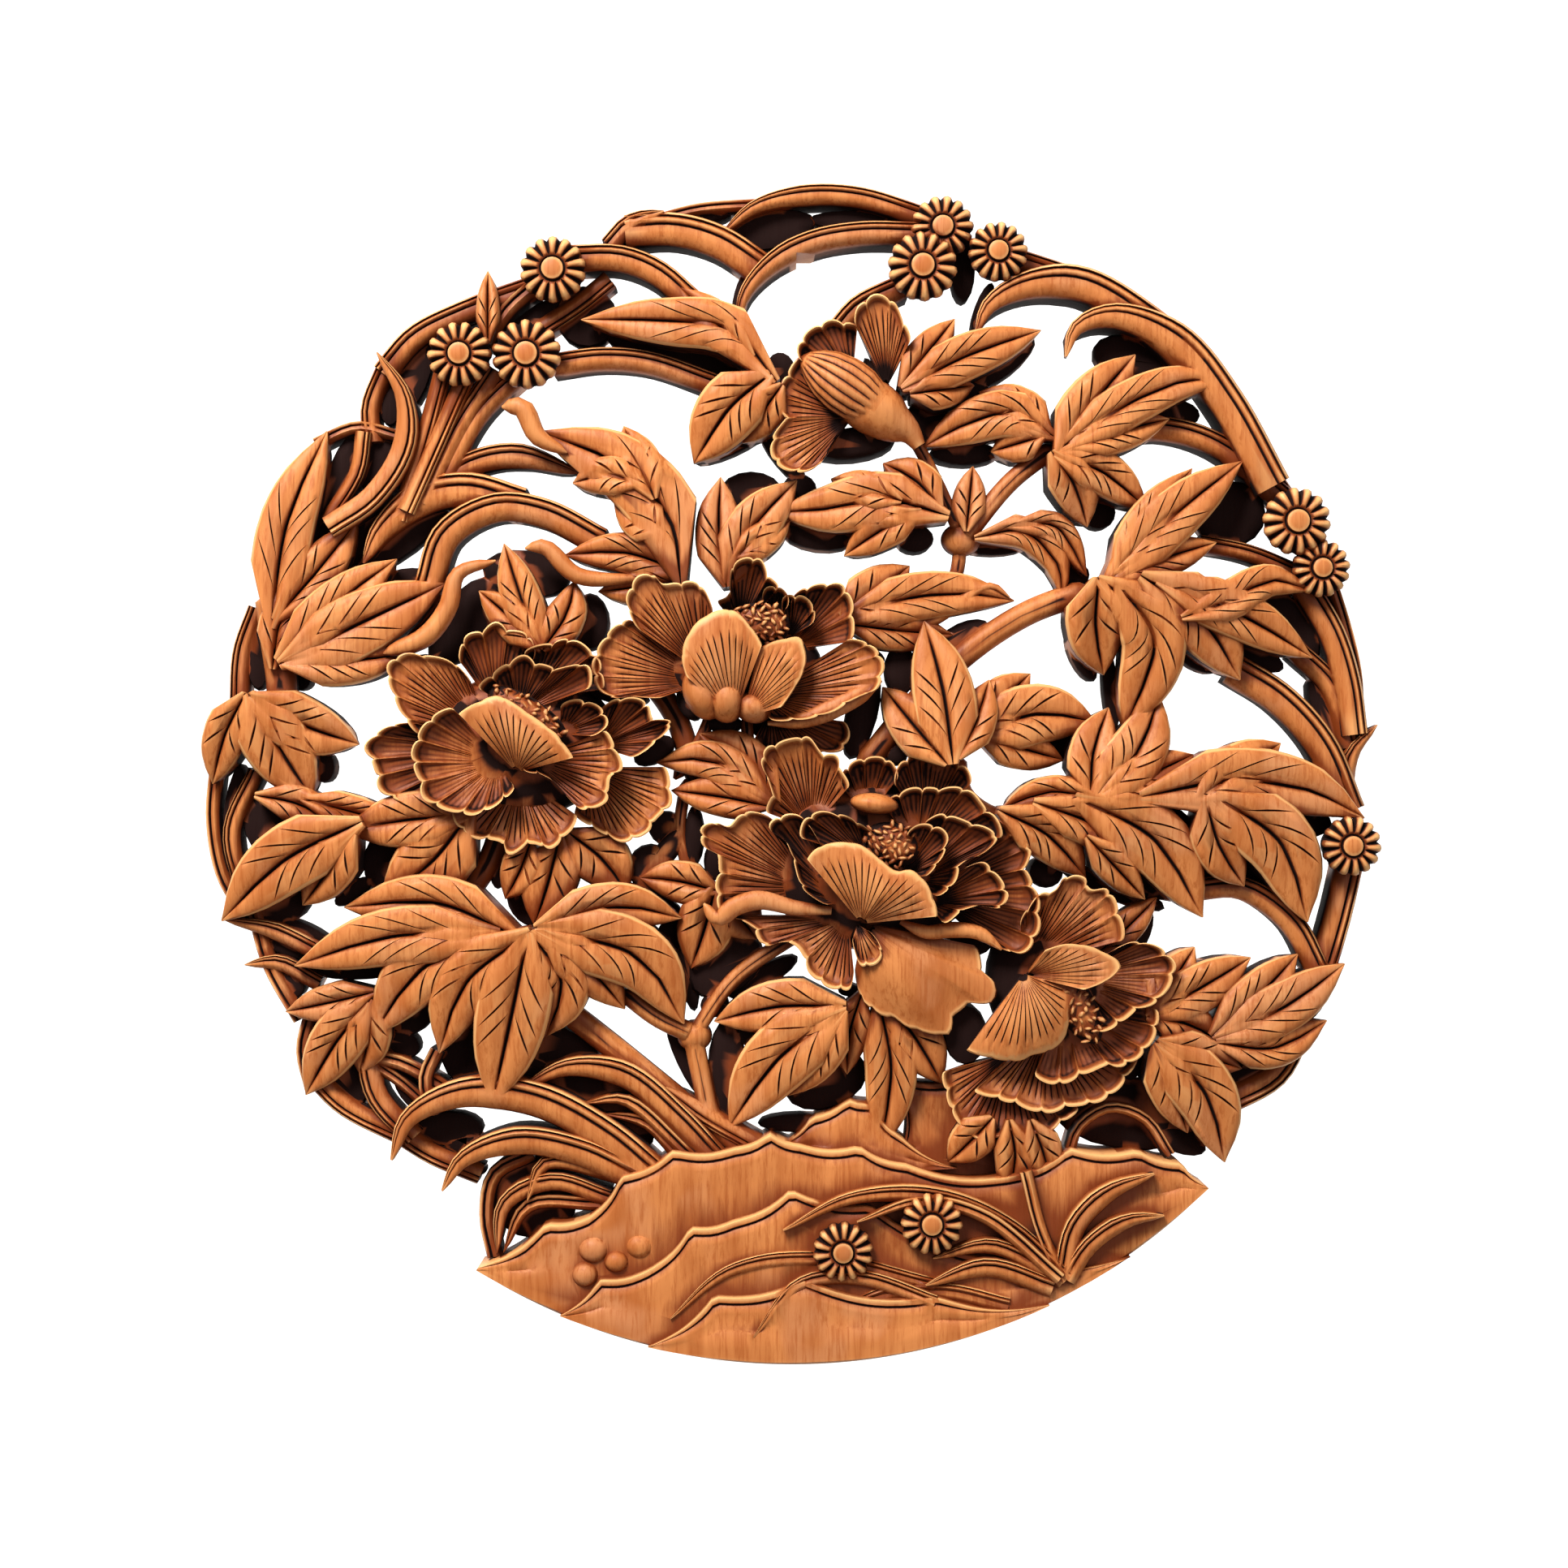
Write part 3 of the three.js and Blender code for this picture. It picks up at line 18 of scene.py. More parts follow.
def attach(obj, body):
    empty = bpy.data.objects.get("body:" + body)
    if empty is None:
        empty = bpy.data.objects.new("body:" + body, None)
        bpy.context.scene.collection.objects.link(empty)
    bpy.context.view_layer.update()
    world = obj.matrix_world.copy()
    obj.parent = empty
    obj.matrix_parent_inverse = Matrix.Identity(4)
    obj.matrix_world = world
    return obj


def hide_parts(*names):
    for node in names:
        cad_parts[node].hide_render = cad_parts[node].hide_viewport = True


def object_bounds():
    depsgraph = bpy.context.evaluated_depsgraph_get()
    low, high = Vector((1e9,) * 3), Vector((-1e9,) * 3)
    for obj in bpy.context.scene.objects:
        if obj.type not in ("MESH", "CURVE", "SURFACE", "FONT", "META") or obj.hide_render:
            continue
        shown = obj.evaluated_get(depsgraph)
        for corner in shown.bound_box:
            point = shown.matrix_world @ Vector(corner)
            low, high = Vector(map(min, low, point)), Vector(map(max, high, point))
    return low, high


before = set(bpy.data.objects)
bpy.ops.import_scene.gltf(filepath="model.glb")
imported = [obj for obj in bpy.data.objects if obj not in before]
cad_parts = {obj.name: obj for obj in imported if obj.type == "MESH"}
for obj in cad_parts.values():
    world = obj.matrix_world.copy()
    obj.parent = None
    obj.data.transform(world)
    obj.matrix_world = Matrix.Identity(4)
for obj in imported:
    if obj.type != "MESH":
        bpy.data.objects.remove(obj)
CAD_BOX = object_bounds()
LOG = logging.getLogger("panel")
MILLIMETRE = 0.001
GOLDEN_SHARE = 0.381966
GOLDEN_ANGLE = 2.39996

# The layout. Points and widths are in units of the sheet that the panel is drawn on, turns in degrees,
# and heights in millimetres above the back. A course is a row of x and y in turn. Each class says what its rows hold.
BLADES = (
    ("rim_top", 26, 11, (888, 288, 930, 253, 992, 238, 1060, 241, 1146, 268), "start"),
    ("rim_top_left", 16, 9, (800, 270, 860, 254, 940, 248)),
    ("top_tuft", 24, 12, (750, 302, 774, 276, 818, 260), "end"),
    ("arch_left_of_nail", 40, 12, (770, 284, 830, 281, 885, 296, 940, 332)),
    ("arch_under_tuft", 32, 13, (700, 318, 764, 318, 810, 336, 852, 372)),
    ("blade_under_daisy", 26, 9, (750, 340, 710, 372, 655, 408)),
    ("arch_over_gap", 28, 11, (680, 448, 740, 440, 800, 445, 878, 472)),
    ("nail_arch", 28, 13, (908, 408, 918, 362, 952, 323, 1000, 298, 1060, 287, 1140, 288), "start"),
    ("arch_over_bud", 30, 12, (1032, 408, 1058, 378, 1112, 352)),
    ("rim_right", 28, 10, (1240, 312, 1363, 357, 1445, 418, 1507, 486, 1554, 565, 1597, 628)),
    ("hook_right", 42, 14, (1202, 414, 1218, 378, 1264, 352, 1332, 350, 1412, 396, 1470, 448), "start"),
    ("hook_lower_right", 42, 15, (1312, 442, 1326, 405, 1373, 390, 1450, 422, 1510, 495, 1568, 600), "start"),
    ("arch_right", 30, 11, (1380, 534, 1430, 526, 1500, 546, 1600, 627)),
    ("blade_right", 22, 10, (1480, 668, 1540, 680, 1600, 704)),
    ("edge_right_outer", 16, 8, (1641, 702, 1664, 775, 1676, 830, 1679, 890)),
    ("edge_right", 32, 11, (1610, 722, 1644, 780, 1663, 840, 1672, 905)),
    ("edge_right_inner", 28, 9, (1600, 800, 1645, 845, 1668, 920)),
    ("blade_far_right", 40, 11, (1520, 823, 1581, 862, 1631, 919, 1665, 1000)),
    ("flick", 22, 10, (1700, 893, 1669, 930, 1661, 1008), "start"),
    ("arch_low_right", 30, 11, (1470, 1097, 1530, 1094, 1592, 1135, 1627, 1198)),
    ("edge_low_right", 34, 10, (1667, 1062, 1652, 1128, 1627, 1214)),
    ("edge_under_leaf", 32, 9, (1606, 1270, 1576, 1326, 1508, 1364)),
    ("loop_by_flower", 14, 12, (1318, 1424, 1330, 1390, 1368, 1366, 1412, 1380, 1442, 1424)),
    ("rim_upper_left", 30, 10, (470, 458, 508, 414, 566, 384, 660, 350)),
    ("rim_left_inner", 24, 9, (457, 542, 453, 500, 474, 446)),
    ("sprig_stalk", 20, 11, (598, 425, 625, 380, 665, 345)),
    ("horn_left", 30, 14, (466, 436, 498, 490, 498, 550, 460, 612, 405, 650), "start"),
    ("arch_left", 16, 9, (385, 545, 437, 524, 490, 536)),
    ("torn_blade", 22, 10, (445, 530, 437, 580, 400, 640)),
    ("inner_left", 16, 9, (506, 520, 512, 560, 520, 610)),
    ("bundle_a", 24, 12, (545, 455, 522, 540, 490, 640)),
    ("bundle_b", 24, 13, (575, 460, 540, 540, 500, 630)),
    ("bundle_c", 24, 12, (610, 455, 562, 530, 520, 620)),
    ("bundle_d", 24, 11, (650, 450, 590, 508, 540, 600)),
    ("arch_upper", 32, 10, (535, 594, 590, 566, 640, 560, 714, 582), "end"),
    ("arch_big", 44, 12, (448, 694, 470, 652, 517, 614, 575, 603, 642, 622), "start"),
    ("arch_small", 36, 13, (528, 722, 550, 659, 610, 625, 670, 632, 740, 668)),
    ("ring_left", 24, 8, (312, 748, 293, 802, 289, 870)),
    ("ring_left_low", 18, 8, (262, 940, 257, 1010, 270, 1080, 300, 1130)),
    ("ring_left_inner", 22, 9, (312, 950, 281, 1025, 300, 1110)),
    ("spear_left", 24, 10, (274, 1134, 335, 1148, 420, 1192), "start"),
    ("spear_left_low", 22, 9, (298, 1190, 340, 1188, 390, 1214), "start"),
    ("ring_low_left", 20, 8, (308, 1120, 328, 1190, 366, 1258)),
    ("ring_by_leaf_tip", 20, 8, (380, 1250, 370, 1296, 381, 1346)),
    ("ring_foot_left", 26, 9, (380, 1324, 420, 1364, 502, 1406)),
    ("loop_foot_left", 28, 10, (448, 1290, 462, 1352, 508, 1404)),
    ("grass_left_a", 20, 10, (440, 1302, 491, 1312, 545, 1342)),
    ("grass_left_b", 16, 9, (450, 1310, 488, 1334, 530, 1372)),
    ("ring_foot_right", 26, 9, (490, 1400, 530, 1425, 590, 1450)),
    ("curl_by_leaf", 18, 12, (538, 1295, 524, 1328, 532, 1375)),
    ("grass_front_a", 44, 14.2, (484, 1428, 504, 1378, 570, 1346, 660, 1354, 745, 1398, 810, 1452), "start"),
    ("grass_front_b", 34, 13, (641, 1341, 700, 1315, 770, 1325, 835, 1378, 885, 1432), "start"),
    ("grass_front_c", 18, 13, (722, 1359, 770, 1356, 850, 1425), "start"),
    ("grass_front_d", 16, 12, (746, 1373, 795, 1385, 835, 1425), "start"),
    ("grass_front_e", 36, 14, (546, 1466, 572, 1427, 640, 1405, 720, 1420, 780, 1450), "start"),
    ("grass_front_f", 22, 12, (650, 1479, 672, 1434, 770, 1452), "start"),
    ("grass_left_edge", 20, 9, (608, 1552, 598, 1500, 608, 1450, 655, 1425)),
    ("grass_nest_a", 24, 12, (612, 1544, 622, 1484, 680, 1457, 750, 1478), "start"),
    ("grass_nest_b", 18, 11, (620, 1544, 650, 1488, 740, 1486), "start"),
    ("root_by_trunk", 26, 12, (820, 1340, 870, 1375, 935, 1412), "start"),
    ("relief_a", 24, 18, (965, 1511, 1050, 1472, 1160, 1472, 1245, 1510, 1310, 1572), "start"),
    ("relief_b", 18, 19, (1055, 1500, 1130, 1476, 1210, 1494, 1302, 1570), "start"),
    ("relief_c", 22, 18, (1148, 1545, 1220, 1531, 1306, 1574), "start"),
    ("relief_d", 26, 18, (1139, 1578, 1215, 1557, 1294, 1582), "start"),
    ("relief_e", 22, 17, (827, 1620, 900, 1562, 1010, 1548, 1150, 1580), "start"),
    ("relief_f", 22, 18, (929, 1641, 985, 1578, 1060, 1570, 1150, 1600), "start"),
    ("relief_g", 26, 17, (1004, 1648, 1070, 1598, 1160, 1588, 1240, 1606), "start"),
    ("relief_h", 28, 18, (1308, 1570, 1322, 1508, 1362, 1466, 1418, 1442), "end"),
    ("relief_i", 24, 18, (1312, 1572, 1340, 1530, 1385, 1500, 1430, 1493), "end"),
    ("relief_stalk", 16, 18, (1262, 1440, 1280, 1510, 1308, 1572)),
)
STEMS = (
    ("bud_stalk", 16, 11, (1090, 500, 1124, 538, 1154, 592, 1182, 655)),
    ("spray_stalk", 24, 11, (1186, 666, 1245, 594, 1301, 550)),
    ("neck", 18, 9, (1185, 660, 1178, 710, 1150, 752)),
    ("branch", 32, 10, (1345, 726, 1265, 756, 1185, 810, 1110, 888, 1060, 950)),
    ("stalk_left_of_b", 16, 8, (880, 870, 858, 920, 830, 960)),
    ("stalk_right_of_b", 16, 9, (918, 880, 928, 940, 960, 990)),
    ("stalk_behind", 16, 8, (845, 960, 837, 1025, 850, 1085)),
    ("branch_low", 20, 9, (985, 1150, 905, 1206, 855, 1275)),
    ("twig_low", 26, 10, (768, 1222, 810, 1254, 856, 1276)),
    ("trunk_low", 26, 9, (853, 1275, 862, 1320, 880, 1385, 915, 1420)),
    ("branch_left", 32, 8, (655, 1215, 745, 1285, 850, 1370)),
    ("trunk_left", 40, 9, (345, 880, 345, 840, 338, 790, 330, 730)),
    ("knob_curl", 26, 15, (620, 504, 645, 505, 664, 540, 700, 560)),
    ("fold_curl", 22, 14, (648, 677, 672, 675, 712, 710, 800, 714)),
    ("long_curl", 26, 14, (474, 806, 525, 786, 553, 750, 566, 708, 612, 692)),
    ("curl_on_branch", 15, 12, (1100, 778, 1155, 762, 1190, 736, 1222, 722, 1244, 736)),
    ("bridge_centre", 30, 6, (770, 800, 830, 880, 860, 960, 900, 1000)),
    ("bridge_left", 30, 6, (560, 1120, 600, 1060, 620, 1000)),
    ("bridge_right", 26, 6, (1180, 930, 1190, 980, 1240, 1010, 1340, 990)),
    ("link_low", 26, 6, (880, 1170, 880, 1130, 900, 1080)),
    ("stalk_to_spray", 22, 9, (1345, 726, 1390, 800, 1400, 880, 1345, 980)),
)
LEAVES = (
    ("beside_bud_left", 18, 13, ((64, 957, 474, 900, 410, 820, 398, 716, 394), (54, 928, 445, 880, 398, 839, 355),
     (80, 950, 465, 900, 505, 855, 571), (54, 964, 478, 940, 510, 915, 546))),
    ("crest", 18, 14, ((86, 840, 722, 828, 648, 772, 580, 664, 532), (56, 808, 618, 790, 575, 769, 526), (50, 790,
     600, 750, 588, 706, 596), (56, 820, 662, 790, 640, 757, 621))),
    ("crest_foot", 16, 13, ((52, 846, 708, 770, 682, 696, 684), (46, 846, 716, 790, 724, 737, 729))),
    ("above_centre", 17, 13, ((60, 896, 725, 886, 655, 888, 588), (66, 896, 722, 925, 655, 982, 592), (44, 905, 690,
     974, 641))),
    ("beside_bud_right", 18, 14, ((48, 1108, 482, 1140, 440, 1176, 394), (58, 1110, 484, 1190, 442, 1282, 408), (48,
     1120, 490, 1200, 476))),
    ("under_bud_right", 17, 13, ((60, 1298, 542, 1245, 512, 1190, 524, 1138, 551), (50, 1292, 538, 1255, 502, 1206,
     483), (48, 1285, 540, 1221, 557))),
    ("below_bud", 17, 13, ((72, 1168, 638, 1090, 618, 1020, 628, 954, 632), (48, 1110, 620, 1060, 602, 1024, 590),
     (54, 1158, 628, 1125, 592, 1088, 571), (50, 1135, 632, 1085, 655, 1040, 685))),
    ("fork", 15, 12, ((42, 1190, 656, 1199, 574), (42, 1200, 664, 1260, 656, 1302, 694, 1310, 738), (36, 1240, 650,
     1300, 650, 1340, 710))),
    ("fan_upper_right", 19, 14, ((72, 1300, 568, 1340, 506, 1398, 438), (58, 1298, 560, 1390, 500, 1450, 474, 1512,
     468), (52, 1315, 556, 1385, 532, 1440, 517), (56, 1296, 564, 1356, 585, 1413, 628), (58, 1292, 560, 1322, 602,
     1339, 650))),
    ("three_right", 19, 14, ((56, 1366, 722, 1412, 645, 1468, 578), (68, 1358, 722, 1440, 640, 1530, 569), (50, 1362,
     716, 1430, 690, 1498, 669))),
    ("beside_centre", 16, 12, ((66, 1035, 760, 1080, 730, 1121, 697), (62, 1035, 762, 1120, 738, 1190, 732, 1250,
     740), (52, 1040, 770, 1110, 778, 1174, 782))),
    ("spear_pair", 20, 15, ((78, 1172, 942, 1160, 850, 1138, 766), (62, 1165, 942, 1125, 895, 1087, 847), (52, 1178,
     935, 1202, 885, 1218, 838))),
    ("small_right", 16, 12, ((62, 1200, 905, 1240, 858, 1270, 830), (78, 1198, 906, 1280, 880, 1352, 890), (54, 1205,
     908, 1311, 937))),
    ("spray_right", 20, 14, ((74, 1349, 714, 1347, 775, 1359, 832), (80, 1372, 722, 1418, 790, 1385, 900), (64, 1348,
     716, 1410, 762, 1451, 824), (84, 1400, 712, 1475, 762, 1527, 838), (64, 1420, 718, 1530, 762, 1616, 811), (50,
     1450, 764, 1506, 744, 1560, 717, 1614, 728))),
    ("wide_right", 19, 14, ((62, 1340, 985, 1345, 925, 1365, 872), (74, 1342, 985, 1400, 925, 1428, 856), (58, 1350,
     982, 1470, 930), (68, 1470, 986, 1530, 944, 1577, 916), (84, 1400, 982, 1520, 962, 1610, 974, 1680, 1008), (42,
     1350, 984, 1290, 976, 1234, 996), (64, 1228, 998, 1290, 1030, 1337, 1081), (60, 1270, 988, 1350, 1018, 1412,
     1064), (46, 1335, 1030, 1410, 1108), (86, 1320, 982, 1420, 1035, 1481, 1130), (64, 1480, 985, 1500, 1045, 1532,
     1092), (88, 1490, 980, 1575, 1040, 1610, 1136))),
    ("behind_flower", 14, 11, ((42, 1345, 1180, 1392, 1140, 1427, 1106),)),
    ("low_right_a", 17, 13, ((54, 1412, 1250, 1445, 1205, 1472, 1167), (62, 1410, 1252, 1485, 1212, 1541, 1180), (58,
     1410, 1250, 1465, 1262, 1502, 1284))),
    ("low_right_b", 16, 12, ((62, 1490, 1276, 1560, 1216, 1600, 1176), (66, 1495, 1278, 1585, 1238, 1658, 1188), (52,
     1495, 1284, 1570, 1290, 1636, 1258))),
    ("low_right_c", 18, 13, ((62, 1418, 1284, 1445, 1345, 1463, 1396), (80, 1420, 1280, 1485, 1350, 1509, 1432), (52,
     1425, 1280, 1530, 1317))),
    ("left_spire", 15, 11, ((72, 336, 775, 355, 642, 401, 530), (60, 340, 765, 395, 700, 438, 641), (52, 338, 825,
     348, 760, 389, 696))),
    ("left_fan", 17, 13, ((62, 345, 815, 420, 742, 489, 689), (82, 348, 820, 440, 772, 549, 719), (62, 352, 818, 440,
     814, 503, 806))),
    ("over_left_flower", 16, 13, ((52, 668, 800, 642, 735, 621, 670), (50, 668, 802, 630, 762, 590, 728), (52, 670,
     802, 700, 755, 708, 716))),
    ("left_drop", 17, 12, ((56, 307, 855, 278, 910, 261, 966), (72, 312, 858, 370, 892, 441, 917), (84, 310, 855,
     345, 920, 384, 985))),
    ("left_fold", 14, 12, ((48, 315, 980, 365, 990, 430, 1024), (44, 372, 984, 432, 1000, 500, 1018))),
    ("left_low", 18, 12, ((84, 450, 1012, 350, 1062, 272, 1135), (62, 440, 1026, 405, 1075, 372, 1116))),
    ("under_left_flower", 16, 13, ((70, 580, 1004, 490, 1012, 426, 1024), (92, 582, 1000, 535, 1060, 470, 1111))),
    ("low_left_fan", 19, 13, ((72, 640, 1152, 540, 1112, 424, 1118), (74, 620, 1148, 480, 1154, 363, 1190), (82, 620,
     1148, 520, 1195, 459, 1276))),
    ("low_left_small", 14, 10, ((48, 462, 1222, 405, 1236, 349, 1248), (68, 458, 1230, 410, 1290, 374, 1351), (58,
     458, 1235, 452, 1285, 441, 1325))),
    ("low_spray_left", 20, 14, ((78, 658, 1146, 575, 1212, 542, 1297), (92, 655, 1146, 635, 1240, 607, 1361), (72,
     656, 1146, 694, 1210, 673, 1277))),
    ("low_spray_right", 20, 14, ((64, 662, 1142, 765, 1116, 840, 1131), (86, 665, 1142, 790, 1180, 843, 1261), (62,
     672, 1146, 735, 1200, 770, 1243))),
    ("hanging_leaf", 14, 12, ((52, 655, 1035, 640, 1075, 622, 1108), (72, 690, 1030, 675, 1090, 658, 1141), (72, 700,
     1025, 745, 1062, 772, 1101))),
    ("behind_centre", 13, 11, ((54, 885, 1098, 830, 1085, 788, 1082), (72, 882, 1092, 868, 1145, 851, 1194), (62,
     885, 1095, 933, 1158))),
    ("between_flowers", 17, 13, ((54, 955, 992, 880, 938, 809, 940), (50, 950, 994, 890, 982, 827, 974), (62, 958,
     992, 915, 935, 862, 904))),
    ("low_centre", 17, 12, ((68, 1042, 1238, 955, 1240, 880, 1259), (86, 1040, 1240, 955, 1308, 898, 1390), (62,
     1040, 1242, 1005, 1300, 970, 1351))),
    ("low_centre_right", 14, 11, ((52, 1062, 1222, 1045, 1280, 1044, 1325), (66, 1082, 1230, 1098, 1315, 1085, 1420),
     (64, 1100, 1240, 1135, 1290, 1161, 1336))),
    ("sepals_low", 16, 13, ((54, 1222, 1375, 1195, 1405, 1168, 1432), (52, 1242, 1378, 1250, 1425, 1242, 1478), (50,
     1268, 1378, 1285, 1420, 1296, 1462))),
    ("rim_sprig", 14, 11, ((30, 602, 425, 600, 332),)),
)
DAISIES = (
    ((682, 334), 41, 13), ((568, 439), 40, 14), ((650, 439), 43, 14), ((1161, 281), 39, 12), ((1136, 331), 43, 14),
    ((1229, 312), 37, 13), ((1595, 644), 42, 14), ((1626, 701), 36, 13), ((1662, 1042), 37, 14),
    ((1038, 1537), 37, 17), ((1146, 1502), 38, 18),
)
RIDGES = (
    ("back_ridge", 15, (590, 1560, 674, 1505, 728, 1496, 766, 1446, 830, 1415, 905, 1412, 948, 1394, 985, 1408, 1058,
     1410, 1115, 1432, 1240, 1446, 1316, 1412, 1400, 1415, 1454, 1430, 1486, 1461)),
    ("middle_ridge", 16.6, (692, 1617, 740, 1571, 800, 1559, 851, 1508, 905, 1499, 974, 1462, 1070, 1480, 1250, 1550,
     1390, 1545)),
    ("front_ridge", 18.2, (800, 1653, 880, 1590, 990, 1570, 1150, 1590, 1290, 1602)),
)
WEBS = (
    (945, 278, 62, 24, -12), (1065, 268, 68, 15, 4), (870, 258, 32, 10, -6), (720, 385, 40, 38, 40),
    (655, 385, 40, 12, -35), (828, 432, 88, 19, 16), (508, 450, 20, 55, 15), (476, 495, 14, 26, 0),
    (560, 394, 38, 9, -17), (405, 605, 17, 78, 18), (460, 568, 18, 38, 20), (490, 655, 75, 26, -38),
    (450, 650, 14, 55, 22), (492, 712, 36, 14, -10), (568, 765, 32, 66, 35), (645, 705, 55, 30, 8),
    (725, 765, 24, 36, 0, 9), (900, 545, 50, 12, -24), (925, 605, 40, 28, 0), (985, 600, 22, 20, 0),
    (965, 560, 12, 45, -40), (312, 805, 15, 45, 0), (760, 855, 40, 12, 10, 13), (848, 868, 13, 22, -30, 12),
    (893, 892, 22, 12, 0, 11), (935, 893, 12, 14, 0), (805, 925, 28, 16, -30, 11), (868, 725, 16, 22, -45),
    (1050, 545, 55, 20, -6, 12), (1188, 325, 16, 42, 0), (1213, 375, 10, 35, 20), (1402, 441, 54, 31, 20),
    (1452, 505, 32, 18, 5), (1240, 442, 48, 16, -38), (1145, 517, 30, 32, 0), (1200, 480, 22, 12, -20),
    (1088, 478, 10, 45, -30, 12), (1520, 630, 46, 42, 0), (1595, 770, 28, 55, -35), (1550, 805, 42, 16, 25),
    (1640, 890, 12, 58, -20), (1062, 880, 20, 58, 15, 11), (1110, 825, 20, 32, 0, 11), (1105, 930, 14, 14, 0, 12),
    (1225, 670, 44, 12, 0), (1357, 628, 22, 22, 0), (1373, 850, 10, 52, -5), (1478, 811, 30, 12, 30),
    (1312, 916, 20, 22, 0), (282, 990, 12, 50, 10), (322, 1020, 28, 40, -20), (338, 1120, 38, 22, -15),
    (370, 1148, 35, 8, 25), (468, 1065, 26, 38, 0), (394, 945, 14, 20, 0), (355, 1215, 16, 18, 0),
    (430, 1196, 60, 14, 0), (470, 1215, 9, 22, 0), (503, 1250, 32, 26, -40), (568, 1295, 30, 45, 0),
    (425, 1342, 24, 34, 0), (500, 1348, 14, 30, -35), (572, 1414, 30, 14, 0), (550, 1395, 42, 22, 0),
    (685, 1295, 60, 28, 20), (735, 1370, 80, 42, 32), (655, 1480, 55, 52, 0), (800, 1070, 28, 30, 0, 10),
    (810, 1112, 35, 10, 30), (855, 1030, 12, 38, 0, 10), (828, 1155, 20, 24, 0), (846, 1200, 12, 50, -10),
    (895, 1192, 52, 34, -35, 9), (940, 1206, 50, 14, -30), (842, 1310, 10, 50, -25), (895, 1320, 24, 62, 0, 9),
    (1018, 1334, 54, 36, -20), (985, 1388, 52, 12, 0), (642, 1118, 17, 28, -35), (610, 1072, 11, 25, 0),
    (1618, 1015, 30, 18, 0), (1612, 1110, 11, 52, 8), (1555, 1085, 22, 42, -40), (1290, 1075, 22, 20, 0, 11),
    (1375, 1095, 70, 16, 22), (1430, 1085, 40, 22, 30), (1450, 1018, 24, 22, 30), (1492, 1070, 36, 14, 30),
    (1195, 1160, 30, 20, 0, 12), (1190, 1275, 27, 38, 0, 12), (1410, 1150, 13, 32, 20), (1390, 1375, 95, 46, 8),
    (1540, 1325, 36, 18, 0), (1610, 1252, 34, 14, -35), (1513, 1398, 15, 30, 12), (1008, 655, 48, 22, 8, 9),
    (1128, 662, 24, 18, 0, 9), (1190, 556, 44, 15, 0, 9), (1188, 784, 36, 18, -25, 11), (1328, 706, 18, 16, 0, 8),
    (1336, 806, 14, 36, -25, 8), (1070, 802, 24, 8, 30, 12), (962, 452, 18, 22, -10, 9), (912, 357, 8, 30, 15, 8),
    (362, 838, 16, 12, 0), (430, 1100, 28, 12, -35), (505, 822, 30, 14, -25), (520, 756, 11, 36, 40),
    (492, 1290, 22, 18, 20), (350, 1170, 26, 12, 20), (650, 1318, 28, 13, 0), (880, 1241, 18, 15, 0, 9),
    (925, 1277, 18, 15, 0, 9), (1456, 1408, 38, 17, 22), (1396, 1310, 15, 24, 0, 9), (820, 1050, 14, 34, 35, 10),
    (822, 1022, 26, 22, 30, 9), (880, 1062, 14, 24, 0, 8), (575, 1440, 22, 10, 25), (1047, 1222, 14, 8, 0, 9),
)
BLOCKS = (
    ("upper_rock", 12, (962, 1412, 1000, 1376, 1046, 1354, 1075, 1358, 1110, 1400, 1180, 1440), (962, 1412, 1000,
     1450, 1180, 1440)),
    ("trunk_block", 9, (1108, 1440, 1108, 1330, 1180, 1330, 1260, 1400, 1330, 1420), (1108, 1440, 1250, 1460, 1330,
     1420)),
)
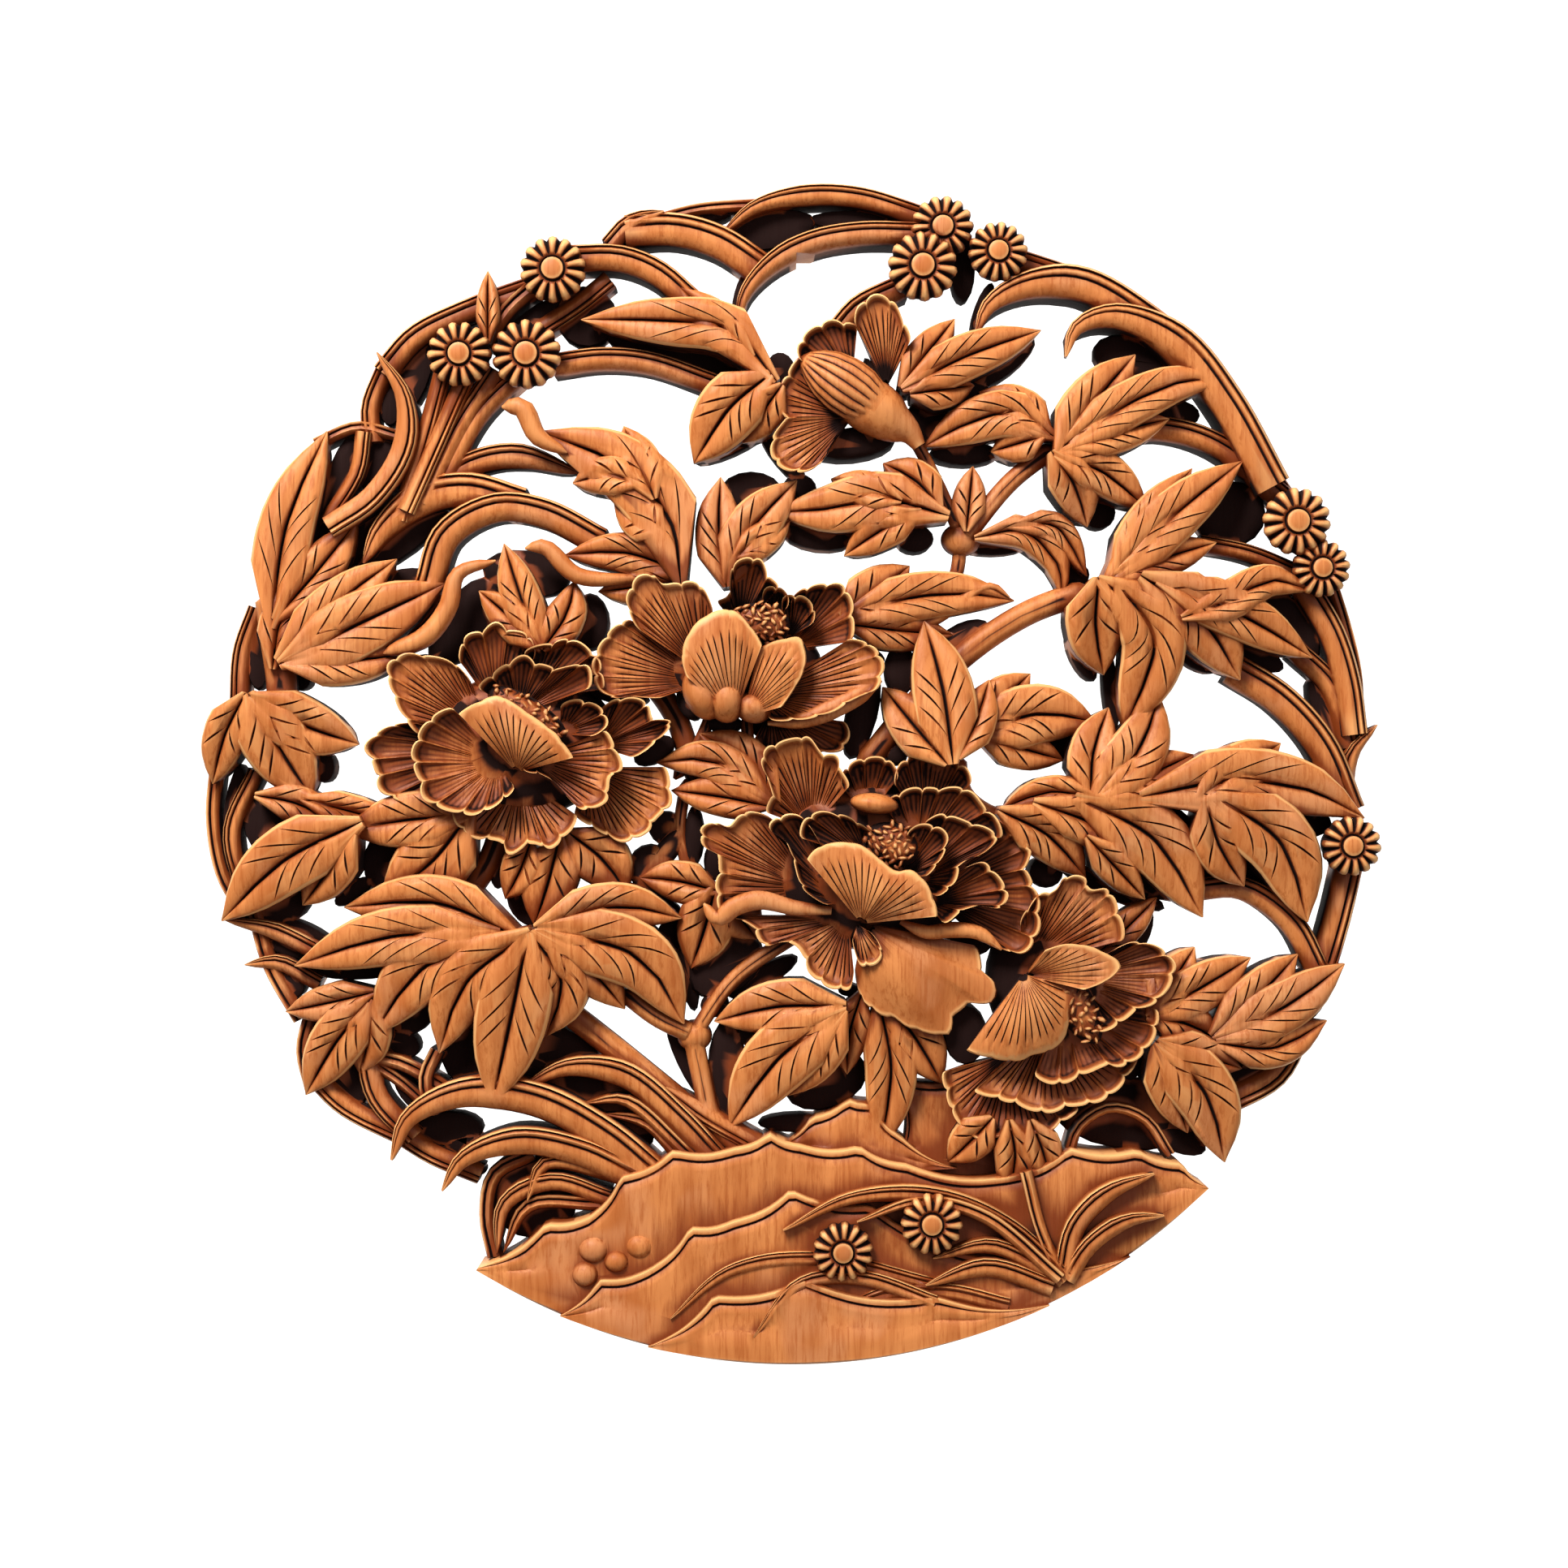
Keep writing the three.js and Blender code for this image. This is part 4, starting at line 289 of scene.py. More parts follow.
PETALS = (
    ("left_west", (600, 925), 10, 15, 1, (512, 890, 480, 895, 451, 920, 462, 945, 470, 975, 500, 990, 530, 1002, 560,
     990)),
    ("left_northwest", (600, 905), 10, 16, 1, (515, 905, 492, 870, 480, 820, 500, 806, 530, 808, 560, 816, 580, 835),
     "fan"),
    ("left_north", (612, 880), 10, 16, 1, (566, 812, 575, 785, 596, 776, 614, 767, 632, 776, 653, 782, 664, 806)),
    ("left_northeast", (655, 860), 11, 17, 1, (648, 800, 674, 794, 707, 788, 728, 800, 740, 812, 748, 850)),
    ("left_inner_north", (640, 880), 15, 21, 0, (592, 848, 617, 827, 650, 809, 668, 818, 692, 824, 728, 821, 735,
     848)),
    ("left_east", (735, 920), 12, 18, 0, (742, 872, 767, 860, 800, 866, 806, 884, 830, 890, 818, 908, 785, 935)),
    ("left_small_east", (690, 905), 15, 20, 0, (695, 866, 722, 863, 749, 878, 752, 893, 738, 908)),
    ("left_southeast", (720, 945), 10, 15, 1, (708, 1006, 740, 1025, 770, 1038, 800, 1025, 812, 1007, 828, 992, 824,
     945), "fan"),
    ("left_south", (640, 960), 10, 16, 1, (556, 990, 566, 1019, 590, 1034, 617, 1037, 629, 1053, 659, 1040, 680,
     1046, 704, 1025, 716, 1007), "fan"),
    ("left_fold", (655, 935), 15, 20, 0, (647, 950, 680, 959, 701, 980, 722, 998, 752, 986, 755, 959, 770, 948, 752,
     900), "fan"),
    ("left_inner_west", (615, 940), 15, 20, 0, (560, 870, 530, 890, 512, 930, 520, 960, 528, 985, 560, 1000, 590,
     1004, 620, 990, 640, 972)),
    ("left_bowl", (640, 952), 17, 22.5, 2.6, (571, 880, 596, 866, 620, 859, 645, 872, 668, 888, 690, 905, 712, 934),
     "bowl"),
    ("top_west", (868, 840), 12, 17, 1, (812, 862, 782, 860, 752, 860, 735, 845, 731, 818, 752, 779, 774, 765, 800,
     780), "fan"),
    ("top_northwest", (868, 830), 14, 20, 1, (785, 775, 774, 746, 776, 731, 788, 713, 806, 710, 818, 722, 839, 719,
     863, 722, 880, 750), "fan"),
    ("top_north", (912, 775), 13, 20, 0, (882, 742, 896, 738, 905, 697, 935, 690, 950, 714, 962, 725)),
    ("top_small_north", (950, 768), 15, 20, 0, (938, 745, 943, 728, 958, 724, 970, 735, 974, 748)),
    ("top_small_northeast", (974, 785), 15, 20, 0, (962, 752, 966, 738, 985, 735, 1003, 750, 1003, 770)),
    ("top_northeast", (972, 800), 13, 19, 0, (975, 738, 990, 727, 1016, 721, 1038, 723, 1050, 744, 1052, 792)),
    ("top_east", (935, 858), 14, 20, 1, (1048, 788, 1073, 797, 1088, 818, 1080, 850, 1058, 860, 1025, 879, 989, 888,
     950, 890), "fan"),
    ("top_under", (950, 875), 10, 14, 1, (918, 930, 947, 930, 980, 940, 1012, 930, 1040, 924, 1047, 908, 1045, 890)),
    ("top_bowl_right", (915, 886), 17, 22, 2, (936, 800, 960, 791, 986, 789, 993, 812, 989, 832, 965, 872), "bowl"),
    ("top_bowl", (905, 888), 18, 23, 2.4, (846, 834, 842, 810, 849, 786, 863, 768, 882, 757, 903, 755, 922, 770, 940,
     796), "bowl"),
    ("main_west", (1000, 1095), 12, 18, 1, (886, 1124, 882, 1092, 885, 1055, 866, 1040, 864, 1020, 880, 1012, 898,
     1017, 914, 1000, 940, 1002, 975, 1020), "fan"),
    ("main_northwest", (1000, 1022), 12, 19, 0, (942, 1000, 950, 975, 938, 938, 944, 922, 974, 910, 994, 907, 1012,
     926, 1031, 932, 1037, 950, 1048, 966), "fan"),
    ("main_north", (1068, 1010), 12, 18, 0, (1034, 965, 1040, 947, 1055, 936, 1075, 932, 1094, 935, 1108, 955)),
    ("main_northeast", (1140, 1020), 12, 18, 0, (1098, 962, 1109, 938, 1130, 926, 1151, 919, 1169, 930, 1188, 944,
     1198, 962)),
    ("main_mid_northeast", (1130, 1050), 15, 20, 0, (1086, 990, 1105, 976, 1128, 969, 1150, 970, 1190, 971, 1208,
     989, 1223, 1004, 1236, 1030)),
    ("main_east", (1140, 1100), 12, 18, 1, (1222, 1004, 1247, 1023, 1268, 1043, 1264, 1070, 1278, 1105, 1277, 1150,
     1259, 1173, 1230, 1167, 1200, 1152)),
    ("main_mid_east", (1125, 1085), 16, 22, 0, (1136, 1010, 1160, 1001, 1184, 1009, 1204, 1015, 1226, 1029, 1210,
     1049, 1184, 1061, 1172, 1088, 1152, 1104)),
    ("main_mid_southeast", (1140, 1112), 16, 21, 0, (1190, 1064, 1210, 1061, 1229, 1080, 1239, 1100, 1230, 1116,
     1200, 1114, 1178, 1124, 1162, 1138)),
    ("main_inner_north", (1070, 1060), 17, 22, 0, (982, 1030, 992, 1006, 1008, 999, 1024, 1000, 1050, 1008, 1080,
     1030)),
    ("main_inner_east", (1112, 1078), 18, 23, 0, (1116, 1020, 1132, 1014, 1153, 1016, 1165, 1030, 1158, 1054, 1140,
     1078)),
    ("main_southwest", (1045, 1130), 13, 17, 1, (890, 1126, 923, 1138, 941, 1164, 962, 1160, 982, 1166, 997, 1198,
     1019, 1215, 1045, 1218, 1052, 1200), "fan"),
    ("main_apron", (1064, 1136), 17, 15, 3, (1052, 1200, 1062, 1232, 1085, 1250, 1104, 1256, 1120, 1266, 1142, 1272,
     1168, 1274, 1177, 1250, 1196, 1236, 1220, 1236, 1228, 1214, 1212, 1196, 1205, 1165), "apron"),
    ("main_tongue", (1056, 1138), 18, 19, 1, (1048, 1160, 1062, 1190, 1078, 1186, 1087, 1174, 1082, 1160, 1074,
     1148), "fan"),
    ("main_mid_west", (1038, 1114), 15, 21, 0, (1012, 1112, 986, 1090, 979, 1066, 968, 1036, 947, 1018, 958, 1005,
     985, 1004, 1012, 1040)),
    ("main_bowl", (1060, 1136), 18.5, 23, 2.6, (993, 1056, 1008, 1042, 1034, 1036, 1055, 1038, 1078, 1052, 1100,
     1070, 1120, 1070, 1136, 1082, 1148, 1106, 1153, 1126), "bowl"),
    ("low_fan", (1262, 1190), 12, 18, 1, (1254, 1132, 1264, 1116, 1278, 1100, 1300, 1092, 1310, 1078, 1334, 1080,
     1342, 1094, 1362, 1094, 1378, 1128, 1384, 1156), "fan"),
    ("low_lip", (1262, 1200), 17, 22, 1, (1284, 1166, 1308, 1160, 1334, 1162, 1358, 1172, 1375, 1185, 1362, 1202,
     1332, 1216), "bowl"),
    ("low_shell", (1258, 1198), 19, 19, 3, (1188, 1292, 1216, 1300, 1250, 1304, 1272, 1296, 1293, 1290, 1310, 1272,
     1315, 1248, 1322, 1212), "bowl"),
    ("low_frill_a", (1320, 1205), 14, 19, 0, (1374, 1164, 1392, 1158, 1412, 1160, 1432, 1170, 1444, 1188, 1438, 1210,
     1421, 1232, 1394, 1244, 1374, 1260, 1350, 1271)),
    ("low_frill_b", (1310, 1240), 13, 18, 0, (1424, 1240, 1422, 1268, 1405, 1296, 1380, 1311, 1356, 1312, 1332, 1322,
     1300, 1334, 1270, 1325)),
    ("low_frill_c", (1290, 1270), 11, 16, 0, (1404, 1296, 1392, 1318, 1376, 1340, 1352, 1356, 1318, 1362, 1284, 1370,
     1246, 1358, 1218, 1350, 1196, 1344), "fan"),
    ("low_frill_d", (1245, 1300), 10, 15, 0, (1158, 1320, 1164, 1346, 1174, 1374, 1204, 1402, 1226, 1400, 1250, 1394,
     1282, 1398, 1308, 1382, 1330, 1366), "fan"),
    ("bud_west", (1050, 515), 14, 17, 1, (985, 440, 963, 474, 958, 500, 964, 520, 950, 545, 953, 572, 980, 586, 1008,
     577, 1024, 548), "fan"),
    ("bud_north", (1092, 478), 14, 19, 1, (1050, 400, 1056, 384, 1076, 369, 1098, 376, 1110, 397, 1122, 422), "fan"),
    ("bud_northwest", (1050, 470), 14, 18, 1, (982, 448, 983, 428, 998, 410, 1022, 399, 1042, 402, 1056, 404)),
)
DOMES = (
    ("node_upper", (1185, 664), 25, 21, 0, 5, 13),
    ("node_lower", (855, 1278), 22, 20, 0, 4, 12),
    ("left_core", (645, 915), 118, 90, 0, 2, 16),
    ("top_core", (915, 820), 98, 64, 0, 2, 17),
    ("main_core", (1075, 1065), 133, 108, 0, 2, 17),
    ("low_core", (1310, 1225), 88, 108, -35, 2, 15),
    ("sepal_a", (866, 856), 23, 34, -24, 10, 22.4),
    ("sepal_b", (896, 862), 24, 30, 0, 10, 22.9),
    ("sepal_c", (928, 872), 24, 20, 20, 10, 21.6),
    ("main_knob", (1076, 990), 30, 13, 6, 14, 23),
    ("left_stamens", (652, 880), 56, 20, 32, 14, 21),
    ("top_stamens", (938, 770), 36, 25, 10, 14, 21),
    ("main_stamens", (1097, 1040), 36, 27, 15, 14, 22),
    ("low_stamens", (1322, 1235), 24, 56, -30, 12, 19),
    ("pebble_a", (732, 1538), 20, 18, 0, 10, 16.0),
    ("pebble_b", (788, 1534), 19, 17, 0, 10, 15.8),
    ("pebble_c", (760, 1552), 17, 15, 0, 10, 16.4),
    ("pebble_d", (722, 1568), 18, 17, 0, 10, 16.5),
)
LIMBS = (
    ("bud_body", 6.7, 16, 0.88, 3, (1090, 513, 1040, 478, 987, 443), ((0, 0.4), (0.12, 0.74), (0.32, 0.97), (0.5, 1),
     (0.7, 0.86), (0.86, 0.58), (0.96, 0.28), (1, 0.04)), 48, 1.2, 0.55),
    ("bud_cup", 6.4, 14.4, 0.92, 0, (1050, 492, 1078, 506, 1100, 522, 1120, 535, 1132, 552), ((0, 0.8), (0.1, 0.95),
     (0.3, 1), (0.5, 0.88), (0.7, 0.6), (0.85, 0.38), (1, 0.24))),
    ("main_fold_west", 2.3, 16.8, 0.75, 0, (868, 1112, 884, 1130, 906, 1116, 936, 1108, 978, 1117, 1024, 1121), ((0,
     0.1), (0.05, 0.5), (0.2, 0.95), (0.45, 1), (0.75, 0.75), (1, 0.4))),
    ("main_fold_east", 1.9, 17.4, 0.75, 0, (1108, 1134, 1140, 1147, 1172, 1144, 1204, 1148, 1232, 1168), ((0, 0.3),
     (0.2, 0.8), (0.5, 1), (0.8, 0.8), (1, 0.2))),
    ("top_fold_east", 2.4, 17.2, 0.75, 0, (946, 892, 990, 888, 1030, 872, 1060, 856, 1084, 838), ((0, 0.2), (0.2,
     0.7), (0.5, 1), (0.8, 0.9), (1, 0.3))),
)


class Tip(Enum):
    """Which end of a blade is pointed and free."""

    NONE = "none"
    START = "start"
    END = "end"


@dataclass(frozen=True)
class Sheet:
    """The drawing that the panel is laid out on, in units of its own.

    Args:
        across: Units in the panel's diameter.
        diameter: The panel's diameter in millimetres.
        seat: The point that the panel hangs by.
        middle: The middle of the round rim.
        rock_radius: Units from the middle to the round foot of the rock.
        seat_depth: Millimetres from the back to the seat's middle.
    """

    across: float = 1450.0
    diameter: float = 270.0
    seat: tuple[float, float] = (1000.0, 312.0)
    middle: tuple[float, float] = (975.0, 952.0)
    rock_radius: float = 723.0
    seat_depth: float = 6.0

    @property
    def unit(self) -> float:
        """Gives the millimetres in one unit."""
        return self.diameter / self.across

    def plan(self, point: Sequence[float]) -> Vector:
        """Gives a point of the sheet in the plane of the panel, in millimetres from the seat."""
        return Vector(((point[0] - self.seat[0]) * self.unit, (self.seat[1] - point[1]) * self.unit))

    def solid(self, plan: Vector, height: float) -> Vector:
        """Gives the point of the panel at a height above a point of its plane."""
        return Vector((plan.x, self.seat_depth - height, plan.y))


SHEET = Sheet()


def pairs(row: Sequence[float]) -> list[tuple[float, float]]:
    """Gives the points of a row that holds x and y in turn."""
    return list(zip(row[::2], row[1::2]))


def mix(a: float, b: float, share: float) -> float:
    """Gives the value at a share of the way from a to b."""
    return a + (b - a) * share


def ramp(low: float, high: float, value: float) -> float:
    """Gives 0 below low, 1 above high and a smooth rise between. With low above high it falls."""
    share = min(1.0, max(0.0, (value - low) / (high - low)))
    return share * share * (3.0 - 2.0 * share)


def between(stops: Sequence[Sequence[float]], value: float) -> float:
    """Reads a profile given as pairs of place and value.

    Args:
        stops: The pairs, in rising order of place.
        value: The place to read.

    Returns:
        The profile's value there, straight between its stops.
    """
    if value <= stops[0][0]:
        return stops[0][1]
    for (x0, y0), (x1, y1) in zip(stops, stops[1:]):
        if value <= x1:
            return mix(y0, y1, (value - x0) / (x1 - x0))
    return stops[-1][1]


def oval(middle: Sequence[float], wide: float, tall: float, turn: float, share: float, round_it: float) -> Vector:
    """Gives a point on or inside a turned oval.

    Args:
        middle: The oval's middle on the sheet.
        wide: Half its width in units.
        tall: Half its height in units.
        turn: Its turn in degrees.
        share: How far out the point is.
        round_it: How far round it is, as a share of a full turn.

    Returns:
        The point in the plane of the panel.
    """
    angle = 2 * math.pi * round_it
    tilt = math.radians(-turn)
    x = share * wide * SHEET.unit * math.cos(angle)
    y = share * tall * SHEET.unit * math.sin(angle)
    turned = Vector((x * math.cos(tilt) - y * math.sin(tilt), x * math.sin(tilt) + y * math.cos(tilt)))
    return SHEET.plan(middle) + turned


def locate(reach: Sequence[float], far: float) -> tuple[int, float]:
    """Finds where a place falls in a rising row of places.

    Args:
        reach: The places, in rising order.
        far: The place to find.

    Returns:
        The number of the span that it falls in and its share of the way along that span.
    """
    k = min(len(reach) - 2, max(0, bisect_right(reach, far) - 1))
    return k, (far - reach[k]) / (reach[k + 1] - reach[k])


def reaches(line: Sequence[Vector]) -> list[float]:
    """Gives how far along a line each of its points is."""
    return list(accumulate(((b - a).length for a, b in zip(line, line[1:])), initial=0.0))


class Course:
    """A smooth line through points of the sheet, walked by its length."""

    STEPS = 40
    NEAR = 0.02

    def __init__(self, points: Sequence[float]) -> None:
        """Draws the line.

        Args:
            points: Two or more points of the sheet, x and y in turn.
        """
        knots = [SHEET.plan(point) for point in pairs(points)]
        padded = [2 * knots[0] - knots[1], *knots, 2 * knots[-1] - knots[-2]]
        self.line = [knots[0]]
        for k in range(len(knots) - 1):
            self.line += self._span(*padded[k:k + 4])
        self.reach = reaches(self.line)
        self.length = self.reach[-1]

    def _span(self, p0: Vector, p1: Vector, p2: Vector, p3: Vector) -> list[Vector]:
        """Samples the smooth span from p1 to p2.

        Args:
            p0: The point before the span.
            p1: Its first point.
            p2: Its last point.
            p3: The point after it.

        Returns:
            The samples after p1, up to p2.
        """
        d0, d1, d2 = (max(1e-4, math.sqrt((b - a).length)) for a, b in ((p0, p1), (p1, p2), (p2, p3)))
        m1 = ((p1 - p0) / d0 - (p2 - p0) / (d0 + d1) + (p2 - p1) / d1) * d1
        m2 = ((p2 - p1) / d1 - (p3 - p1) / (d1 + d2) + (p3 - p2) / d2) * d1
        samples = []
        for i in range(1, self.STEPS + 1):
            s = i / self.STEPS
            samples.append(p1 + m1 * s + (3 * (p2 - p1) - 2 * m1 - m2) * s ** 2 + (2 * (p1 - p2) + m1 + m2) * s ** 3)
        return samples

    def at(self, share: float) -> Vector:
        """Gives the point at a share of the length. Past its ends the line runs on straight."""
        k, part = locate(self.reach, share * self.length)
        return self.line[k].lerp(self.line[k + 1], part)

    def along(self, share: float) -> Vector:
        """Gives the direction of travel at a share of the length."""
        place = min(1 - self.NEAR, max(self.NEAR, share))
        return (self.at(place + self.NEAR) - self.at(place - self.NEAR)).normalized()

    def left(self, share: float) -> Vector:
        """Gives the direction to the left of travel."""
        way = self.along(share)
        return Vector((-way.y, way.x))

    def beside(self, share: float, offset: float) -> Vector:
        """Gives the point at an offset to the left of a share of the length."""
        return self.at(share) + self.left(share) * offset

    def bends_left(self) -> bool:
        """Says whether the line turns to the left on the whole."""
        first, last = self.along(0.05), self.along(0.95)
        return first.x * last.y - first.y * last.x > 0


@dataclass(frozen=True)
class Spot:
    """One point of the carving: its place, its height, its darkening, partly staining and partly painted shade, and
    its lightening, partly wear and partly painted highlight.
    """

    plan: Vector
    height: float
    stain_and_shade: float = 0.0
    wear_and_highlight: float = 0.0


SpotMaker = Callable[[int, int], Spot]
Body = bpy.types.Object


class Chisel:
    """Shapes closed bodies of wood, keeping at each point a darkening that is partly staining and partly painted
    shade, and a lightening that is partly wear and partly painted highlight.
    """

    def __init__(self) -> None:
        """Starts with an empty body."""
        self.body = bmesh.new()
        layers = self.body.verts.layers.float
        names = ("stain_and_shade", "wear_and_highlight", "row", "column")
        for name in names:
            layers.new(name)
        self.stain_and_shade, self.wear_and_highlight, self.row, self.column = (layers[name] for name in names)

    def _put(self, vert: bmesh.types.BMVert, maker: SpotMaker) -> None:
        """Moves a vertex to the spot of its row and column.

        Args:
            vert: The vertex.
            maker: Gives the spot of a row and a column.
        """
        spot = maker(round(vert[self.row]), round(vert[self.column]))
        vert.co = SHEET.solid(spot.plan, spot.height)
        vert[self.stain_and_shade] = spot.stain_and_shade
        vert[self.wear_and_highlight] = spot.wear_and_highlight

    def patch(self, rows: int, columns: int, face: SpotMaker, walls: Sequence[SpotMaker]) -> None:
        """Carves a face of rows and columns, with walls round it down to a closed foot.

        Args:
            rows: How many points the face has along.
            columns: How many points it has across.
            face: Gives the spot of a row and a column.
            walls: Gives the spots of the face's edge further down, step by step.
        """
        made = bmesh.ops.create_grid(self.body, x_segments=columns - 1, y_segments=rows - 1, size=0.5)
        for vert in made["verts"]:
            vert[self.column] = round((vert.co.x + 0.5) * (columns - 1))
            vert[self.row] = round((vert.co.y + 0.5) * (rows - 1))
            self._put(vert, face)
        for wall in walls:
            rim = [edge for edge in self.body.edges if edge.is_boundary]
            grown = bmesh.ops.extrude_edge_only(self.body, edges=rim)["geom"]
            for vert in (item for item in grown if isinstance(item, bmesh.types.BMVert)):
                self._put(vert, wall)
        self.close()

    def tube(self, rings: int, sides: int, skin: SpotMaker) -> None:
        """Carves a round body from rings that are joined one to the next.

        Args:
            rings: How many rings there are.
            sides: How many points a ring has.
            skin: Gives the spot of a ring and a side.
        """
        before: list[bmesh.types.BMEdge] = []
        for ring in range(rings):
            verts = bmesh.ops.create_circle(self.body, segments=sides, radius=1.0)["verts"]
            for side, vert in enumerate(verts):
                vert[self.row], vert[self.column] = ring, side
                self._put(vert, skin)
            edges = list(dict.fromkeys(edge for vert in verts for edge in vert.link_edges))
            if before:
                bmesh.ops.bridge_loops(self.body, edges=before + edges)
            before = edges
        self.close()

    def close(self) -> None:
        """Fills what is open and turns the faces out."""
        rim = [edge for edge in self.body.edges if edge.is_boundary]
        if rim:
            bmesh.ops.holes_fill(self.body, edges=rim, sides=0)
        bmesh.ops.recalc_face_normals(self.body, faces=self.body.faces[:])

    def finish(self, name: str) -> Body:
        """Gives the body as an object.

        Args:
            name: What the object is called.

        Returns:
            The object, which holds the body's darkening, partly staining and partly painted shade, and its lightening,
            partly wear and partly painted highlight.
        """
        layers = self.body.verts.layers.float
        for layer in ("row", "column"):
            layers.remove(layers[layer])
        mesh = bpy.data.meshes.new(name)
        self.body.to_mesh(mesh)
        self.body.free()
        return bpy.data.objects.new(name, mesh)


@dataclass(frozen=True)
class Cut:
    """One line along a carved section: its place across, its depth, its darkening of staining and painted shade, and
    its lightening of wear and painted highlight.
    """

    place: float
    drop: float
    stain_and_shade: float = 0.0
    wear_and_highlight: float = 0.0


@dataclass(frozen=True)
class Limb:
    """A round body along a course, such as a stalk, a curled tip or the bud.

    Args:
        name: What it is called.
        radius: Its greatest radius in millimetres.
        middle: The height of its middle line.
        depth: How deep it is as a share of its width.
        lines: One cut line for so many sides, or 0 for none.
        points: Its course.
        girth: Share of the radius along the course, as pairs of place and value.
        sides: Points round it.
        step: Millimetres between its rings.
        cut: Depth of a cut line.
        lined: Shares of the length between which the cut lines run.
    """

    name: str
    radius: float
    middle: float
    depth: float
    lines: int
    points: Sequence[float]
    girth: Sequence[Sequence[float]]
    sides: int = 24
    step: float = 1.3
    cut: float = 0.5
    lined: tuple[float, float] = (0.08, 0.94)

    def build(self) -> Body:
        """Builds the body with painted shade on its underside and a top lightened partly by wear and partly by a
        painted highlight.
        """
        course = Course(self.points)
        rings = max(5, round(course.length / self.step) + 1)

        def skin(ring: int, side: int) -> Spot:
            """Gives a spot of the skin.

            Args:
                ring: The ring it lies on.
                side: Its number round the ring.

            Returns:
                The spot.
            """
            t = ring / (rings - 1)
            angle = 2 * math.pi * side / self.sides
            lined = self.lines > 0 and side % self.lines == 0 and self.lined[0] < t < self.lined[1]
            r = self.radius * between(self.girth, t) - (self.cut if lined else 0.0) * min(1.0, 4 * t, 5 * (1 - t))
            up = math.sin(angle)
            # Painted shade darkens the underside, staining with painted shade darkens the cut lines, and wear with a
            # painted highlight lightens the top.
            return Spot(course.beside(t, r * math.cos(angle)), self.middle + self.depth * r * up,
                        max(ramp(0.25, -0.4, up), 0.85 * lined), ramp(0.5, 1.0, up) * 0.45 * (not lined))

        chisel = Chisel()
        chisel.tube(rings, self.sides, skin)
        return chisel.finish(self.name)


